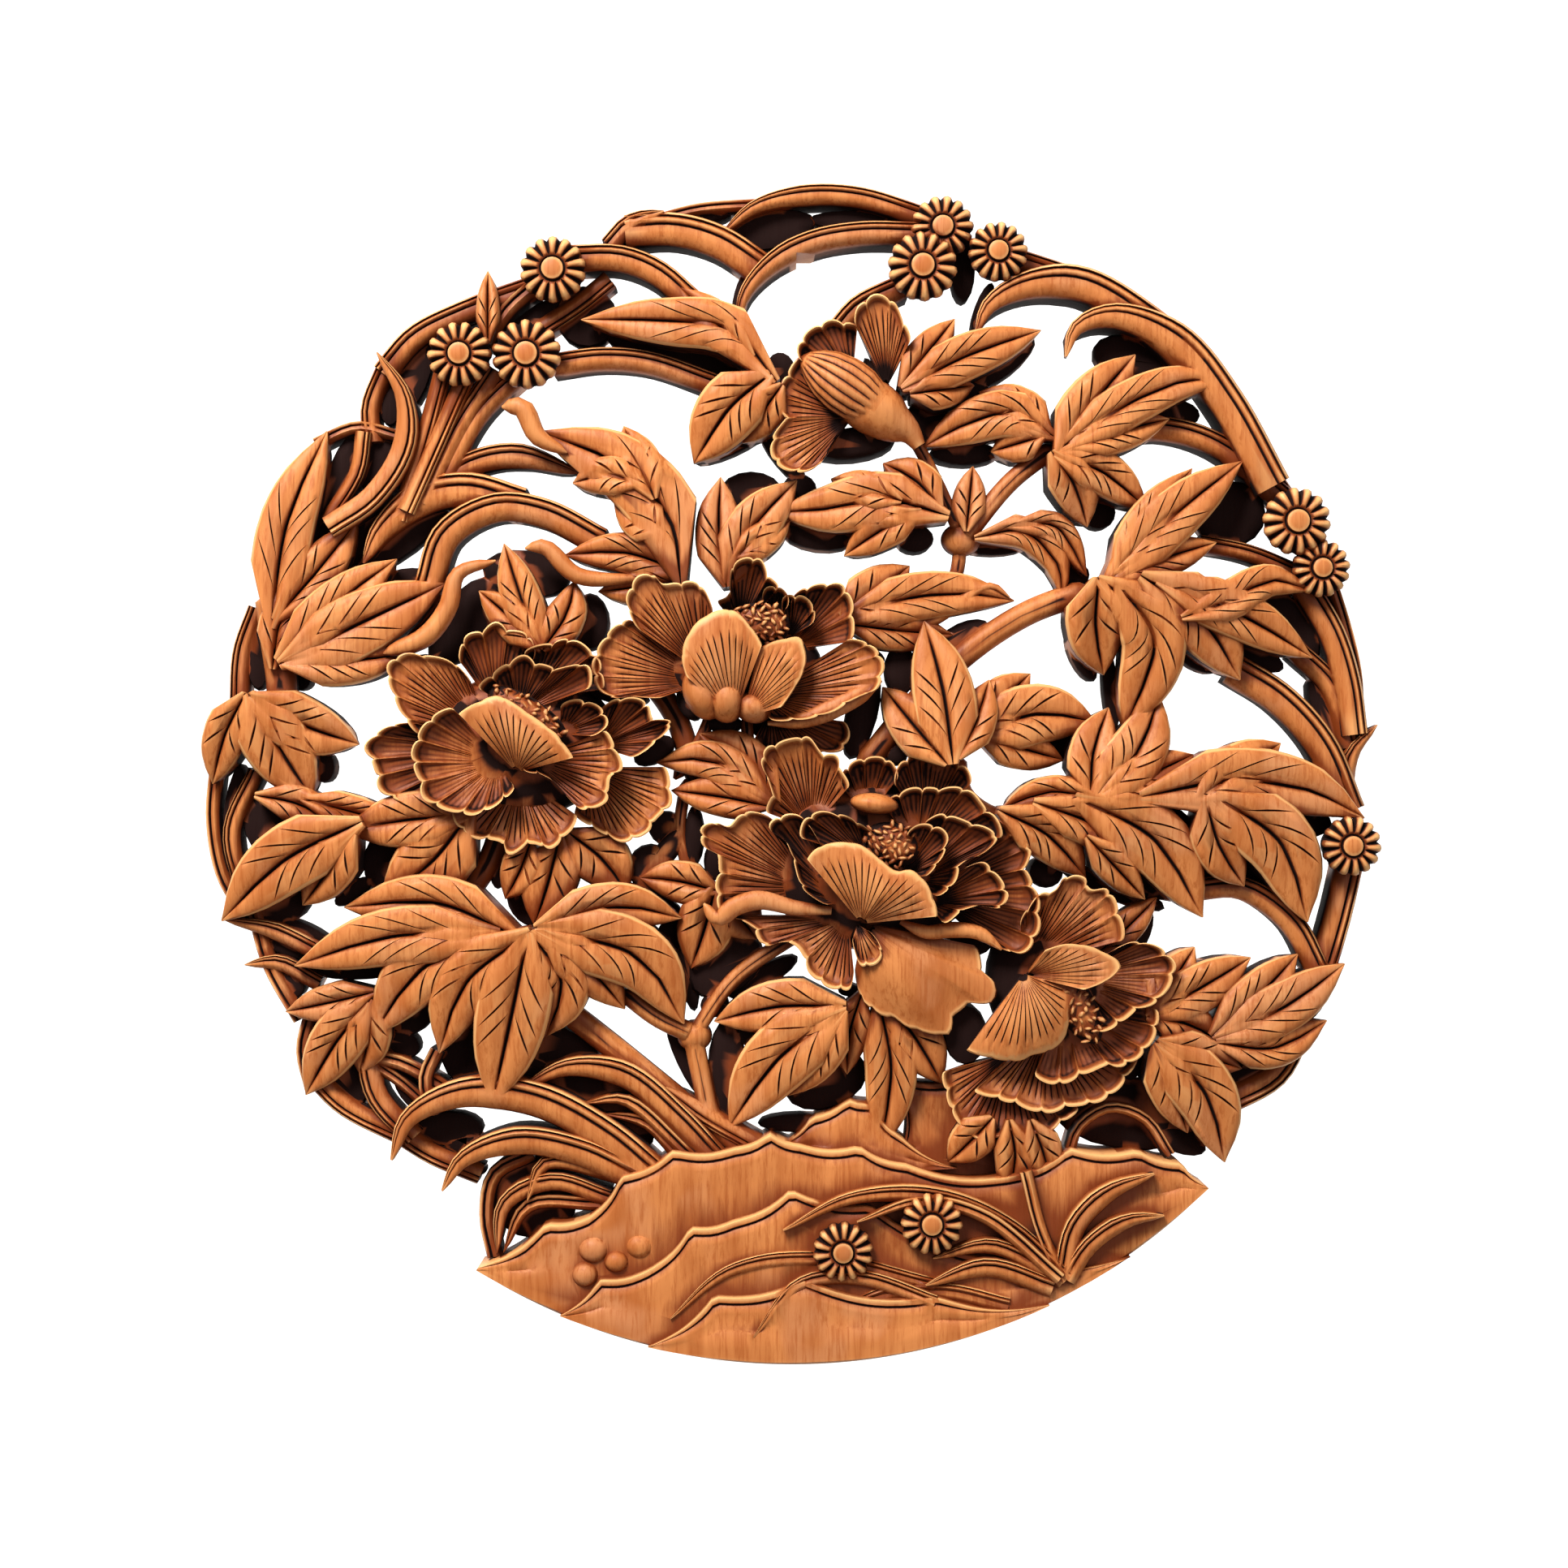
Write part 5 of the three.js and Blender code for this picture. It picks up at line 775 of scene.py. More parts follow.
@dataclass
class Grass:
    """Long arched blades with two carved lines along them, that reach down to the back.

    Args:
        blades: Name, width, top height and course of each blade, and its pointed end if it has one.
        wide: The section of a blade from its inner to its outer side.
        narrow: The same for a slim blade.
        slim: Widest slim blade, in units.
        step: Millimetres between the points along a blade.
        foot: Width of the foot as a share of the blade's.
        taper: Share of the length over which a pointed end widens.
        fullness: How round that widening is: below 1 it swells.
        point: Width of the very tip, as a share of the blade's.
        free: Share of the length over which a pointed end stands clear of the back.
        thick: How thick the free tip is.
        brow: Depth below the top at which the side turns down.
    """

    blades: Sequence[Sequence] = BLADES
    # The sections darken the carved lines with staining and painted shade and the falling edges with painted shade,
    # and lighten the crests with wear and a painted highlight.
    wide: Sequence[Cut] = (
        Cut(-1.0, 2.3, 0.55), Cut(-0.86, 1.25, 0.1), Cut(-0.5, 0.45), Cut(-0.15, 0.1, 0.0, 0.35), Cut(0.16, 0.3, 0.1),
        Cut(0.27, 1.15, 1.0), Cut(0.38, 0.3, 0.1, 0.35), Cut(0.55, 0.1, 0.0, 0.6), Cut(0.68, 0.35, 0.15),
        Cut(0.76, 1.05, 1.0), Cut(0.85, 0.15, 0.1, 1.0), Cut(1.0, 0.9, 0.3, 0.6))
    narrow: Sequence[Cut] = (
        Cut(-1.0, 2.0, 0.6), Cut(-0.7, 0.7, 0.1), Cut(-0.25, 0.1, 0.0, 0.5), Cut(0.18, 0.3, 0.1), Cut(0.36, 1.05, 1.0),
        Cut(0.55, 0.25, 0.15, 0.4), Cut(0.84, 0.1, 0.0, 1.0), Cut(1.0, 0.8, 0.3, 0.6))
    slim: float = 21.0
    step: float = 2.4
    foot: float = 0.9
    taper: float = 0.42
    fullness: float = 0.62
    point: float = 0.07
    free: float = 0.12
    thick: float = 3.0
    brow: float = 2.4

    def build(self) -> list[Body]:
        """Builds every blade."""
        return [self.blade(*row) for row in self.blades]

    def blade(self, name: str, width: float, top: float, points: Sequence[float],
              tip: str = "none") -> Body:
        """Builds one blade.

        Args:
            name: What the blade is called.
            width: Its width in units.
            top: The height of its back.
            points: Its course.
            tip: Which of its ends is pointed.

        Returns:
            The blade as a closed body.
        """
        course = Course(points)
        half = width * SHEET.unit / 2
        cuts = self.wide if width > self.slim else self.narrow
        side = -1.0 if course.bends_left() else 1.0
        rows = max(6, round(course.length / self.step) + 1)

        def place(row: int) -> tuple[float, float, float]:
            """Finds a row.

            Args:
                row: The row's number.

            Returns:
                The share along, how far the tip is and how full the blade is there.
            """
            t = row / (rows - 1)
            away = {Tip.NONE: 1.0, Tip.START: t, Tip.END: 1.0 - t}[Tip(tip)]
            return t, away, max(self.point, min(1.0, away / self.taper) ** self.fullness)

        def face(row: int, column: int) -> Spot:
            """Gives a spot of the carved face.

            Args:
                row: Its row.
                column: Its column.

            Returns:
                The spot.
            """
            t, _, full = place(row)
            cut = cuts[column]
            at = course.beside(t, side * cut.place * half * full)
            return Spot(at, top - cut.drop * full, cut.stain_and_shade * full, cut.wear_and_highlight)

        def wall(row: int, column: int, share: float, level: float, stain_and_shade: float) -> Spot:
            """Gives a spot of the side.

            Args:
                row: Its row.
                column: Its column.
                share: Its place as a share of the width.
                level: Its height as a share of the side's.
                stain_and_shade: Its darkening, painted shade on the side.

            Returns:
                The spot.
            """
            t, away, full = place(row)
            low = mix(top - self.thick, 0.0, ramp(0.0, self.free, away))
            offset = side * cuts[column].place * half * full * share
            return Spot(course.beside(t, offset), mix(low, top - self.brow, level), stain_and_shade)

        # The sides darken towards the back as painted shade, most at the foot.
        chisel = Chisel()
        chisel.patch(rows, len(cuts), face, [
            lambda row, column: wall(row, column, 0.99, 0.8, 0.8),
            lambda row, column: wall(row, column, self.foot, 0.0, 1.0)])
        return chisel.finish(name)


@dataclass
class Stems:
    """Round stalks and branches with rounded ends, and the curled tips of leaves, which thin out.

    Args:
        stems: Name, width, height of the middle and course of each stem.
        curls: The stems that thin out towards both ends.
        round_end: How a stem ends.
        curled: How a curled tip widens and thins out.
        lines: One cut line for so many sides of a stem.
        sides: Points round a stem.
        step: Millimetres between its rings.
        cut: Depth of a cut line.
    """

    stems: Sequence[Sequence] = STEMS
    curls: Sequence[str] = ("long_curl", "fold_curl", "knob_curl", "curl_on_branch")
    round_end: Sequence[Sequence[float]] = ((0, 0.3), (0.02, 0.8), (0.05, 1), (0.95, 1), (0.98, 0.8), (1, 0.3))
    curled: Sequence[Sequence[float]] = (
        (0, 0.12), (0.04, 0.5), (0.12, 0.85), (0.3, 1), (0.6, 0.9), (0.9, 0.5), (1, 0.1))
    lines: int = 5
    sides: int = 20
    step: float = 1.8
    cut: float = 0.22

    def build(self) -> list[Body]:
        """Builds every stem."""
        made = []
        for name, width, middle, points in self.stems:
            lines, girth = (0, self.curled) if name in self.curls else (self.lines, self.round_end)
            made.append(Limb(name, width * SHEET.unit / 2, middle, 1.0, lines, points, girth, self.sides, self.step,
                             self.cut).build())
        return made


@dataclass
class Webs:
    """Low wood that is left between the forms and carries them, darkened partly as staining and partly as painted
    shade where deep shadow falls between the forms.

    Args:
        webs: Middle, half width, half height and turn of each web, and its height where it isn't the usual one.
        profile: The section of a web: share of its width, share of its height and its darkening, partly staining and
            partly painted shade.
        sides: Points round a web.
    """

    webs: Sequence[Sequence] = WEBS
    profile: Sequence[Sequence[float]] = (
        (0.97, 0.0, 0.9), (1.0, 0.8, 0.7), (0.93, 0.93, 0.9), (0.6, 1.0, 0.9), (0.03, 1.0, 0.9))
    sides: int = 16

    def build(self) -> list[Body]:
        """Builds every web."""
        return [self.web(k, *row) for k, row in enumerate(self.webs)]

    def web(self, number: int, x: float, y: float, wide: float, tall: float, turn: float,
            height: float = 7.0) -> Body:
        """Builds one web.

        Args:
            number: Its place in the list.
            x: How far right its middle is.
            y: How far down its middle is.
            wide: Half its width in units.
            tall: Half its height in units.
            turn: Its turn in the plane of the panel, in degrees.
            height: The height of its top.

        Returns:
            The web as a closed body.
        """
        chisel = Chisel()
        chisel.tube(len(self.profile), self.sides, lambda ring, side: Spot(
            oval((x, y), wide, tall, turn, self.profile[ring][0], side / self.sides),
            self.profile[ring][1] * height, self.profile[ring][2]))
        return chisel.finish(f"web_{number}")


@dataclass
class Foliage:
    """Leaves of pointed lobes, each with a carved midrib and curved side veins.

    Args:
        leaves: Name, height at the root and at the tips, and lobes of each leaf.
        across: Sections of a lobe as shares of the half width.
        widths: Half width along a lobe, as a share of its greatest.
        foot: Height of the underside.
        undercut: Width of the underside as a share of the lobe's.
        crown: How far each half rises between the midrib and the edge.
        rib: Depth of the midrib.
        vein: Depth of a side vein.
        line: Half the width of a side vein in millimetres.
        sweep: How far a side vein runs towards the tip on its way out.
        lean: How much fuller one half may be than the other.
        sink: How far the face lies below the leaf's height.
        roll: How far the edge rolls down.
        brow: Depth at which the side turns down.
        thick: How thick the tip is.
        root_rows: Places of the rows before the first vein.
        tip_rows: Places of the rows after the last.
        veined: Place of the first vein, and the share of the length that the veins share out.
    """

    leaves: Sequence[Sequence] = LEAVES
    across: Sequence[float] = (0.0, 0.075, 0.17, 0.3, 0.46, 0.62, 0.76, 0.87, 0.94, 1.0)
    widths: Sequence[Sequence[float]] = (
        (0.0, 0.18), (0.05, 0.42), (0.11, 0.68), (0.2, 0.88), (0.3, 0.98), (0.42, 1.0), (0.54, 0.97), (0.66, 0.87),
        (0.76, 0.72), (0.86, 0.48), (0.94, 0.22), (1.0, 0.02))
    foot: float = 4.0
    undercut: float = 0.96
    crown: float = 1.15
    rib: float = 1.15
    vein: float = 0.85
    line: float = 0.46
    sweep: float = 0.8
    lean: float = 0.35
    sink: float = 1.0
    roll: float = 0.35
    brow: float = 2.2
    thick: float = 2.5
    root_rows: Sequence[float] = (0.0, 0.05, 0.1)
    tip_rows: Sequence[float] = (0.7, 0.8, 0.88, 0.95, 1.0)
    veined: tuple[float, float] = (0.13, 0.42)

    def build(self) -> list[Body]:
        """Builds every lobe of every leaf."""
        return [self.lobe(f"{name}_{k}", root, tip, width, points)
                for name, root, tip, lobes in self.leaves for k, (width, *points) in enumerate(lobes)]

    def stations(self, length: float) -> list[tuple[float, float, float]]:
        """Spaces the rows of a lobe.

        Args:
            length: The lobe's length in millimetres.

        Returns:
            The share along, the strength of the vein and the step to its side of each row.
        """
        veins = 1 if length < 14 else 2 if length < 24 else 3
        edge = self.line / length
        first, spread = self.veined
        rows = [(at, 0.0, 0.0) for at in self.root_rows]
        for k in range(veins):
            at = first + spread * k / veins
            rows += [(at, 0.0, -edge), (at, 1.0, 0.0), (at, 0.0, edge), (at + spread / 2 / veins, 0.0, 0.0)]
        return rows + [(at, 0.0, 0.0) for at in self.tip_rows]

    def lobe(self, name: str, root: float, tip: float, width: float, points: Sequence[float]) -> Body:
        """Builds one lobe.

        Args:
            name: What the lobe is called.
            root: The height of its root.
            tip: The height of its tip.
            width: Its width in units.
            points: Its course from root to tip.

        Returns:
            The lobe as a closed body.
        """
        course = Course(points)
        half = width * SHEET.unit / 2
        rows = self.stations(course.length)
        shares = [-a for a in reversed(self.across[1:])] + list(self.across)
        lean = self.lean * math.sin(37.0 * points[0])

        def window(a: float) -> float:
            """Gives the strength of a side vein at a share of the half width."""
            return ramp(0.05, 0.36, a) * (1 - ramp(0.5, 0.9, a))

        def place(row: int, column: int) -> tuple[float, float, float, float]:
            """Finds a point of the lobe.

            Args:
                row: Its row.
                column: Its column.

            Returns:
                The share along, the signed share across, the half width and the height of the middle there.
            """
            u, _, step = rows[row]
            v = shares[column]
            a = abs(v)
            t = min(1.0, u + step * (0.25 + 0.75 * window(a)) + self.sweep * a ** 0.7 * (1 - u) ** 1.2 * u ** 0.35)
            return t, v, half * between(self.widths, t), mix(root, tip, t ** 1.5)

        def face(row: int, column: int) -> Spot:
            """Gives a spot of the carved face.

            Args:
                row: Its row.
                column: Its column.

            Returns:
                The spot.
            """
            t, v, w, top = place(row, column)
            a = abs(v)
            full = min(1.0, w / half + 0.1)
            height = top - self.sink + self.crown * full * (4 * a * (1 - a)) ** 0.8 * (1 + lean * v)
            height -= self.roll * ramp(0.9, 1.0, a)
            stain_and_shade = 0.0
            if column == len(self.across) - 1:
                deep = 1 - ramp(0.8, 0.92, t)
                height -= self.rib * deep
                stain_and_shade = deep
            if rows[row][1] > 0:
                line = window(a) * ramp(0.12, 0.2, w / half)
                height -= self.vein * line
                stain_and_shade = max(stain_and_shade, line)
            # The midrib and veins darken with staining and painted shade; the edges lighten with wear and a painted
            # highlight.
            return Spot(course.beside(t, v * w), height, stain_and_shade, ramp(0.84, 0.95, a))

        def wall(row: int, column: int, share: float, drop: float, stain_and_shade: float) -> Spot:
            """Gives a spot of the side.

            Args:
                row: Its row.
                column: Its column.
                share: Its place as a share of the width.
                drop: Its depth below the lobe's height, as far as the underside allows.
                stain_and_shade: Its darkening, painted shade on the side.

            Returns:
                The spot.
            """
            t, v, w, top = place(row, column)
            low = mix(self.foot, tip - self.thick, ramp(0.9, 1.0, t))
            return Spot(course.beside(t, v * w * share), max(low, top - drop), stain_and_shade)

        # The sides darken towards the underside as painted shade.
        chisel = Chisel()
        chisel.patch(len(rows), len(shares), face, [
            lambda row, column: wall(row, column, 0.99, self.brow, 0.8),
            lambda row, column: wall(row, column, self.undercut, math.inf, 1.0)])
        return chisel.finish(name)


@dataclass(frozen=True)
class Manner:
    """How a kind of petal is carved.

    Args:
        curve: How the petal rises from root to rim: below 1 it swells, above 1 it is cupped.
        line: Depth of its fine lines.
        shade_and_stain_amount: Darkening in its fine lines, partly staining and partly painted shade.
        spacing: Millimetres between its fine lines.
        reach: Share of the length at which the fine lines end.
        columns: Places of the points from one fine line to the next.
        lip: How far the rolled rim stands up.
        hollow: How far each lobe is scooped out inside the rim.
        frill: Millimetres that the rim draws in between its lobes.
        dark: Darkening all over the inside, partly staining and partly painted shade.
        root: Further darkening at the root, partly staining and partly painted shade.
    """

    curve: float
    line: float
    shade_and_stain_amount: float
    spacing: float
    reach: float
    columns: Sequence[float]
    lip: float
    hollow: float
    frill: float
    dark: float
    root: float


class Petal(Enum):
    """The kinds of petals."""

    FRILL = "frill"
    FAN = "fan"
    BOWL = "bowl"
    APRON = "apron"


MANNERS = {
    Petal.FRILL: Manner(1.3, 0.2, 0.26, 1.2, 0.95, (0.0, 0.5), 1.3, 1.1, 1.1, 0.24, 0.5),
    Petal.FAN: Manner(1.05, 0.45, 0.85, 1.6, 0.88, (0.0, 0.18, 0.5, 0.82), 0.95, 0.5, 0.9, 0.1, 0.65),
    Petal.BOWL: Manner(0.6, 0.55, 1.0, 2.3, 0.86, (0.0, 0.13, 0.5, 0.87), 0.0, 0.0, 0.3, 0.0, 0.35),
    Petal.APRON: Manner(0.7, 0.05, 0.12, 2.4, 0.8, (0.0, 0.5), 0.1, 0.25, 0.9, 0.0, 0.3),
}


@dataclass
class Flowers:
    """Frilled petals in whorls, round fluted bowls, dark hearts, stamens and the bud.

    Args:
        petals: Name, root, height at the root and at the rim, bulge and rim course of each petal, and its kind
            where it isn't frilled.
        domes: Name, middle, half width, half height, turn, low and high side of each dome.
        limbs: What each round body is made from.
        inner: Places of the rows from the root to the inner side of the rim.
        rim: Millimetres from the rim, share of the lip's rise, darkening of staining and painted shade, and lightening
            of wear and painted highlight of the rows there.
        lobe: Millimetres along the rim for one lobe.
        depth: How far the foot lies below the petal.
        thick: Thickness of the rim below its roll.
        bead: How far a rim without a roll is rounded off.
        narrow: Millimetres of length below which the rows at the rim draw together.
        profile: The section of a dome: share of its width and of its height.
        sides: Points round a dome.
        darkness: Darkening of the domes with these words in their names, painted shade in the hearts of the flowers.
        grains: How many stamens a flower has.
        bow: How far the outer stamens lie below the middle one.
    """

    petals: Sequence[Sequence] = PETALS
    domes: Sequence[Sequence] = DOMES
    limbs: Sequence[Sequence] = LIMBS
    inner: Sequence[float] = (0.0, 0.14, 0.3, 0.46, 0.62, 0.78, 0.9)
    rim: Sequence[Sequence[float]] = (
        (2.1, 0.0, 0.25, 0.0), (1.5, 0.0, 0.5, 0.0), (1.05, 0.45, 0.25, 0.2), (0.7, 0.9, 0.0, 0.8),
        (0.35, 1.0, 0.0, 1.0), (0.0, 0.75, 0.0, 0.9))
    lobe: float = 5.4
    depth: float = 4.0
    thick: float = 1.7
    bead: float = 0.45
    narrow: float = 7.0
    profile: Sequence[Sequence[float]] = (
        (0.8, 0.0), (1.0, 0.42), (0.97, 0.58), (0.87, 0.74), (0.68, 0.88), (0.4, 0.97), (0.04, 1.0))
    sides: int = 28
    darkness: Sequence[tuple[str, float]] = (("core", 1.0), ("stamens", 0.7))
    grains: int = 46
    bow: float = 1.4

    def build(self) -> list[Body]:
        """Builds every petal, dome and round body."""
        made = [self.petal(*row) for row in self.petals]
        made += [self.dome(*row) for row in self.domes]
        return made + [Limb(*row).build() for row in self.limbs] + self.stamens()

    def lobes(self, length: float) -> list[float]:
        """Divides a rim into lobes of uneven width.

        Args:
            length: The rim's length in millimetres.

        Returns:
            The places of the notches between them.
        """
        count = max(1, round(length / self.lobe))
        ends = list(accumulate((random.uniform(0.65, 1.35) for _ in range(count)), initial=0.0))
        return [end / ends[-1] for end in ends]

    def petal(self, name: str, root: Sequence[float], foot: float, rim: float, bulge: float,
              points: Sequence[float], kind: str = "frill") -> Body:
        """Builds one petal.

        Args:
            name: What the petal is called.
            root: The point of the sheet that it grows from.
            foot: The height of its root.
            rim: The height of its rim.
            bulge: How far it bulges.
            points: The course of its rim.
            kind: Its kind.

        Returns:
            The petal as a closed body.
        """
        manner = MANNERS[Petal(kind)]
        course = Course(points)
        start = SHEET.plan(root)
        flutes = max(3, round(course.length / manner.spacing))
        places = [(k + c) / flutes for k in range(flutes) for c in manner.columns] + [1.0]
        ends = self.lobes(course.length)
        rows = len(self.inner) + len(self.rim)

        def wave(s: float) -> tuple[float, float]:
            """Gives how far out the rim stands and which way it leans at a share of its length."""
            phase = locate(ends, s)[1]
            return math.sin(math.pi * phase) ** 0.6 if 0 < phase < 1 else 0.0, math.sin(2 * math.pi * phase)

        def edge(s: float) -> Vector:
            """Gives the point of the frilled rim.

            Args:
                s: The share of the rim's length.

            Returns:
                The point in the plane of the panel.
            """
            out, lean = wave(s)
            at = course.at(s)
            way = (at - start).normalized()
            return at - way * manner.frill * (1 - out) - course.along(s) * 0.3 * manner.frill * lean

        def place(row: int, s: float) -> tuple[Vector, float]:
            """Finds a point of the petal.

            Args:
                row: Its row.
                s: Its share of the rim's length.

            Returns:
                The point in the plane of the panel and its share of the way from the root to the rim.
            """
            end = edge(s)
            far = (end - start).length
            scale = min(1.0, far / self.narrow) / far
            if row < len(self.inner):
                r = mix(0.08, 1 - self.rim[0][0] * scale, self.inner[row])
            else:
                r = 1 - self.rim[row - len(self.inner)][0] * scale
            return start.lerp(end, r), r

        def level(r: float, s: float) -> float:
            """Gives the height of the petal's face without its lip and lines."""
            swell = bulge * math.sin(math.pi * min(1.0, r)) * (1 - (2 * s - 1) ** 2)
            return mix(foot, rim, r ** manner.curve) + swell - manner.lip

        def face(row: int, column: int) -> Spot:
            """Gives a spot of the carved face.

            Args:
                row: Its row.
                column: Its column.

            Returns:
                The spot.
            """
            s = places[column]
            at, r = place(row, s)
            out, _ = wave(s)
            height = level(r, s)
            stain_and_shade = manner.dark * ramp(1.0, 0.75, r) + manner.root * ramp(0.5, 0.08, r)
            wear_and_highlight = 0.3 * ramp(0.5, 1.0, r)
            if row >= len(self.inner):
                _, rise, shade_and_stain_amount, light = self.rim[row - len(self.inner)]
                height += manner.lip * rise * (0.7 + 0.3 * out)
                stain_and_shade = shade_and_stain_amount * min(1.0, manner.lip) * (0.4 + 0.6 * out)
                wear_and_highlight = max(wear_and_highlight, light)
                if manner.lip < 0.5:
                    height -= self.bead * (row == rows - 1)
            height -= manner.hollow * out * ramp(0.35, 0.85, r) * ramp(1.0, 0.9, r)
            if column % len(manner.columns) == 0 and 0 < column < len(places) - 1:
                strength = ramp(0.08, 0.22, r) * ramp(manner.reach, manner.reach - 0.12, r)
                height -= manner.line * strength
                stain_and_shade = max(stain_and_shade, stain_and_shade + manner.shade_and_stain_amount * strength)
            # The inside and root darken with staining and painted shade, and so do the fine lines; the rolled rim
            # lightens with wear and a painted highlight.
            return Spot(at, height, min(1.0, stain_and_shade), wear_and_highlight)

        def under(row: int, column: int) -> Spot:
            """Gives a spot of the underside of the rim.

            Args:
                row: Its row.
                column: Its column.

            Returns:
                The spot.
            """
            s = places[column]
            at, r = place(row, s)
            drop = self.thick + 0.3 * (manner.lip > 0.5)
            return Spot(start.lerp(at, 0.985), level(r, s) + manner.lip - drop, 0.75)

        def base(row: int, column: int) -> Spot:
            """Gives a spot of the foot."""
            at, _ = place(row, places[column])
            return Spot(start.lerp(at, 0.5), min(foot, (foot + rim) / 2) - self.depth, 1.0)

        # The underside of the rim and the foot are darkened as painted shade.
        chisel = Chisel()
        chisel.patch(rows, len(places), face, [under, base])
        return chisel.finish(name)

    def dome(self, name: str, middle: Sequence[float], wide: float, tall: float, turn: float, low: float,
             high: float) -> Body:
        """Builds one dome.

        Args:
            name: What the dome is called.
            middle: Its middle.
            wide: Half its width in units.
            tall: Half its height in units.
            turn: Its turn in the plane of the panel, in degrees.
            low: The height of its foot.
            high: The height of its top.

        Returns:
            The dome as a closed body.
        """
        dark = max((stain_and_shade for word, stain_and_shade in self.darkness if word in name), default=0.0)

        def skin(ring: int, side: int) -> Spot:
            """Gives a spot of the skin.

            Args:
                ring: The ring it lies on.
                side: Its number round the ring.

            Returns:
                The spot.
            """
            share, rise = self.profile[ring]
            # The foot darkens as painted shade and the top lightens with wear and a painted highlight; the hearts are
            # darkened whole as painted shade.
            return Spot(oval(middle, wide, tall, turn, share, side / self.sides), mix(low, high, rise),
                        max(dark, ramp(0.75, 0.3, rise)), 0.0 if dark else 0.3 * rise)

        chisel = Chisel()
        chisel.tube(len(self.profile), self.sides, skin)
        return chisel.finish(name)

    def stamens(self) -> list[Body]:
        """Builds the small grains in the hearts of the flowers."""
        made = []
        for name, middle, wide, tall, turn, _, high in self.domes:
            if "stamens" not in name:
                continue
            for k in range(self.grains):
                spread = math.sqrt((k + 0.5) / self.grains)
                at = oval(middle, wide, tall, turn, spread, k * GOLDEN_SHARE)
                chisel = Chisel()
                place = SHEET.solid(at, high - self.bow * spread ** 2 + random.uniform(-0.5, 0.3))
                shape = (Matrix.Translation(place) @ Matrix.Rotation(random.uniform(0, 3.1), 4, "Y")
                         @ Matrix.Diagonal((random.uniform(0.8, 1.4), 0.7, random.uniform(0.4, 0.7), 1.0)))
                grain = bmesh.ops.create_icosphere(chisel.body, subdivisions=1, radius=1.0, matrix=shape)
                # Each grain is lightened on its front by wear and a painted highlight and darkened below as painted
                # shade.
                for vert in grain["verts"]:
                    up = (place.y - vert.co.y) / 0.6
                    vert[chisel.wear_and_highlight] = 0.6 * ramp(0.0, 1.0, up)
                    vert[chisel.stain_and_shade] = 0.5 * ramp(0.5, -0.5, up)
                made.append(chisel.finish(f"{name}_{k}"))
        return made


@dataclass
class Daisies:
    """Small round daisies of narrow petals round a flat eye, each on a stub.

    Args:
        daisies: Middle, radius and height of the rim of each daisy.
        petals: How many petals a daisy has.
        profile: The section through a petal: share of the radius, height over the rim, darkening of staining and
            painted shade, lightening of wear and painted highlight, and depth of the groove beside it.
        groove: How deep each of the four points across a petal lies in its groove.
        turn: How far each daisy is turned on from the one before, as a share of a full turn.
        notch: How far the groove cuts into the rim, as a share of the radius.
    """

    daisies: Sequence[Sequence] = DAISIES
    petals: int = 14
    profile: Sequence[Sequence[float]] = (
        (0.6, -99.0, 1.0, 0.0, 0.0), (0.9, -1.8, 0.9, 0.0, 0.0), (1.0, -0.2, 0.5, 0.1, 0.6), (0.995, 1.0, 0.0, 0.7, 1.7),
        (0.9, 2.2, 0.0, 0.9, 2.2), (0.7, 2.75, 0.0, 0.6, 1.9), (0.5, 2.7, 0.0, 0.4, 0.9), (0.4, 2.2, 0.35, 0.0, 0.0),
        (0.355, 1.8, 1.0, 0.0, 0.0), (0.32, 3.0, 0.1, 0.7, 0.0), (0.2, 3.35, 0.0, 0.3, 0.0),
        (0.02, 3.4, 0.0, 0.2, 0.0))
    groove: Sequence[float] = (1.0, 0.25, 0.0, 0.25)
    turn: float = 0.11
    notch: float = 0.1

    def build(self) -> list[Body]:
        """Builds every daisy."""
        return [self.daisy(k, *row) for k, row in enumerate(self.daisies)]

    def daisy(self, number: int, middle: Sequence[float], radius: float, rim: float) -> Body:
        """Builds one daisy.

        Args:
            number: Its place in the list.
            middle: Its middle.
            radius: Its radius in units.
            rim: The height of its rim.

        Returns:
            The daisy as a closed body.
        """
        sides = len(self.groove) * self.petals

        def skin(ring: int, side: int) -> Spot:
            """Gives a spot of the skin.

            Args:
                ring: The ring it lies on.
                side: Its number round the ring.

            Returns:
                The spot.
            """
            share, rise, stain_and_shade, wear_and_highlight, depth = self.profile[ring]
            height = max(0.0, rim + rise)
            cut = self.groove[side % len(self.groove)]
            if depth > 0:
                height -= depth * cut ** 1.5
                share *= 1 - self.notch * cut * ramp(0.6, 1.0, share)
                stain_and_shade = max(stain_and_shade, 1.0 if cut == 1.0 else 0.3 * (cut > 0))
                wear_and_highlight *= 1 - cut
            turn = side / sides + number * self.turn
            # The foot and the grooves between petals darken with staining and painted shade; the petal crests lighten
            # with wear and a painted highlight.
            return Spot(oval(middle, radius, radius, 0.0, share, turn), height, stain_and_shade, wear_and_highlight)

        chisel = Chisel()
        chisel.tube(len(self.profile), sides, skin)
        return chisel.finish(f"daisy_{number}")


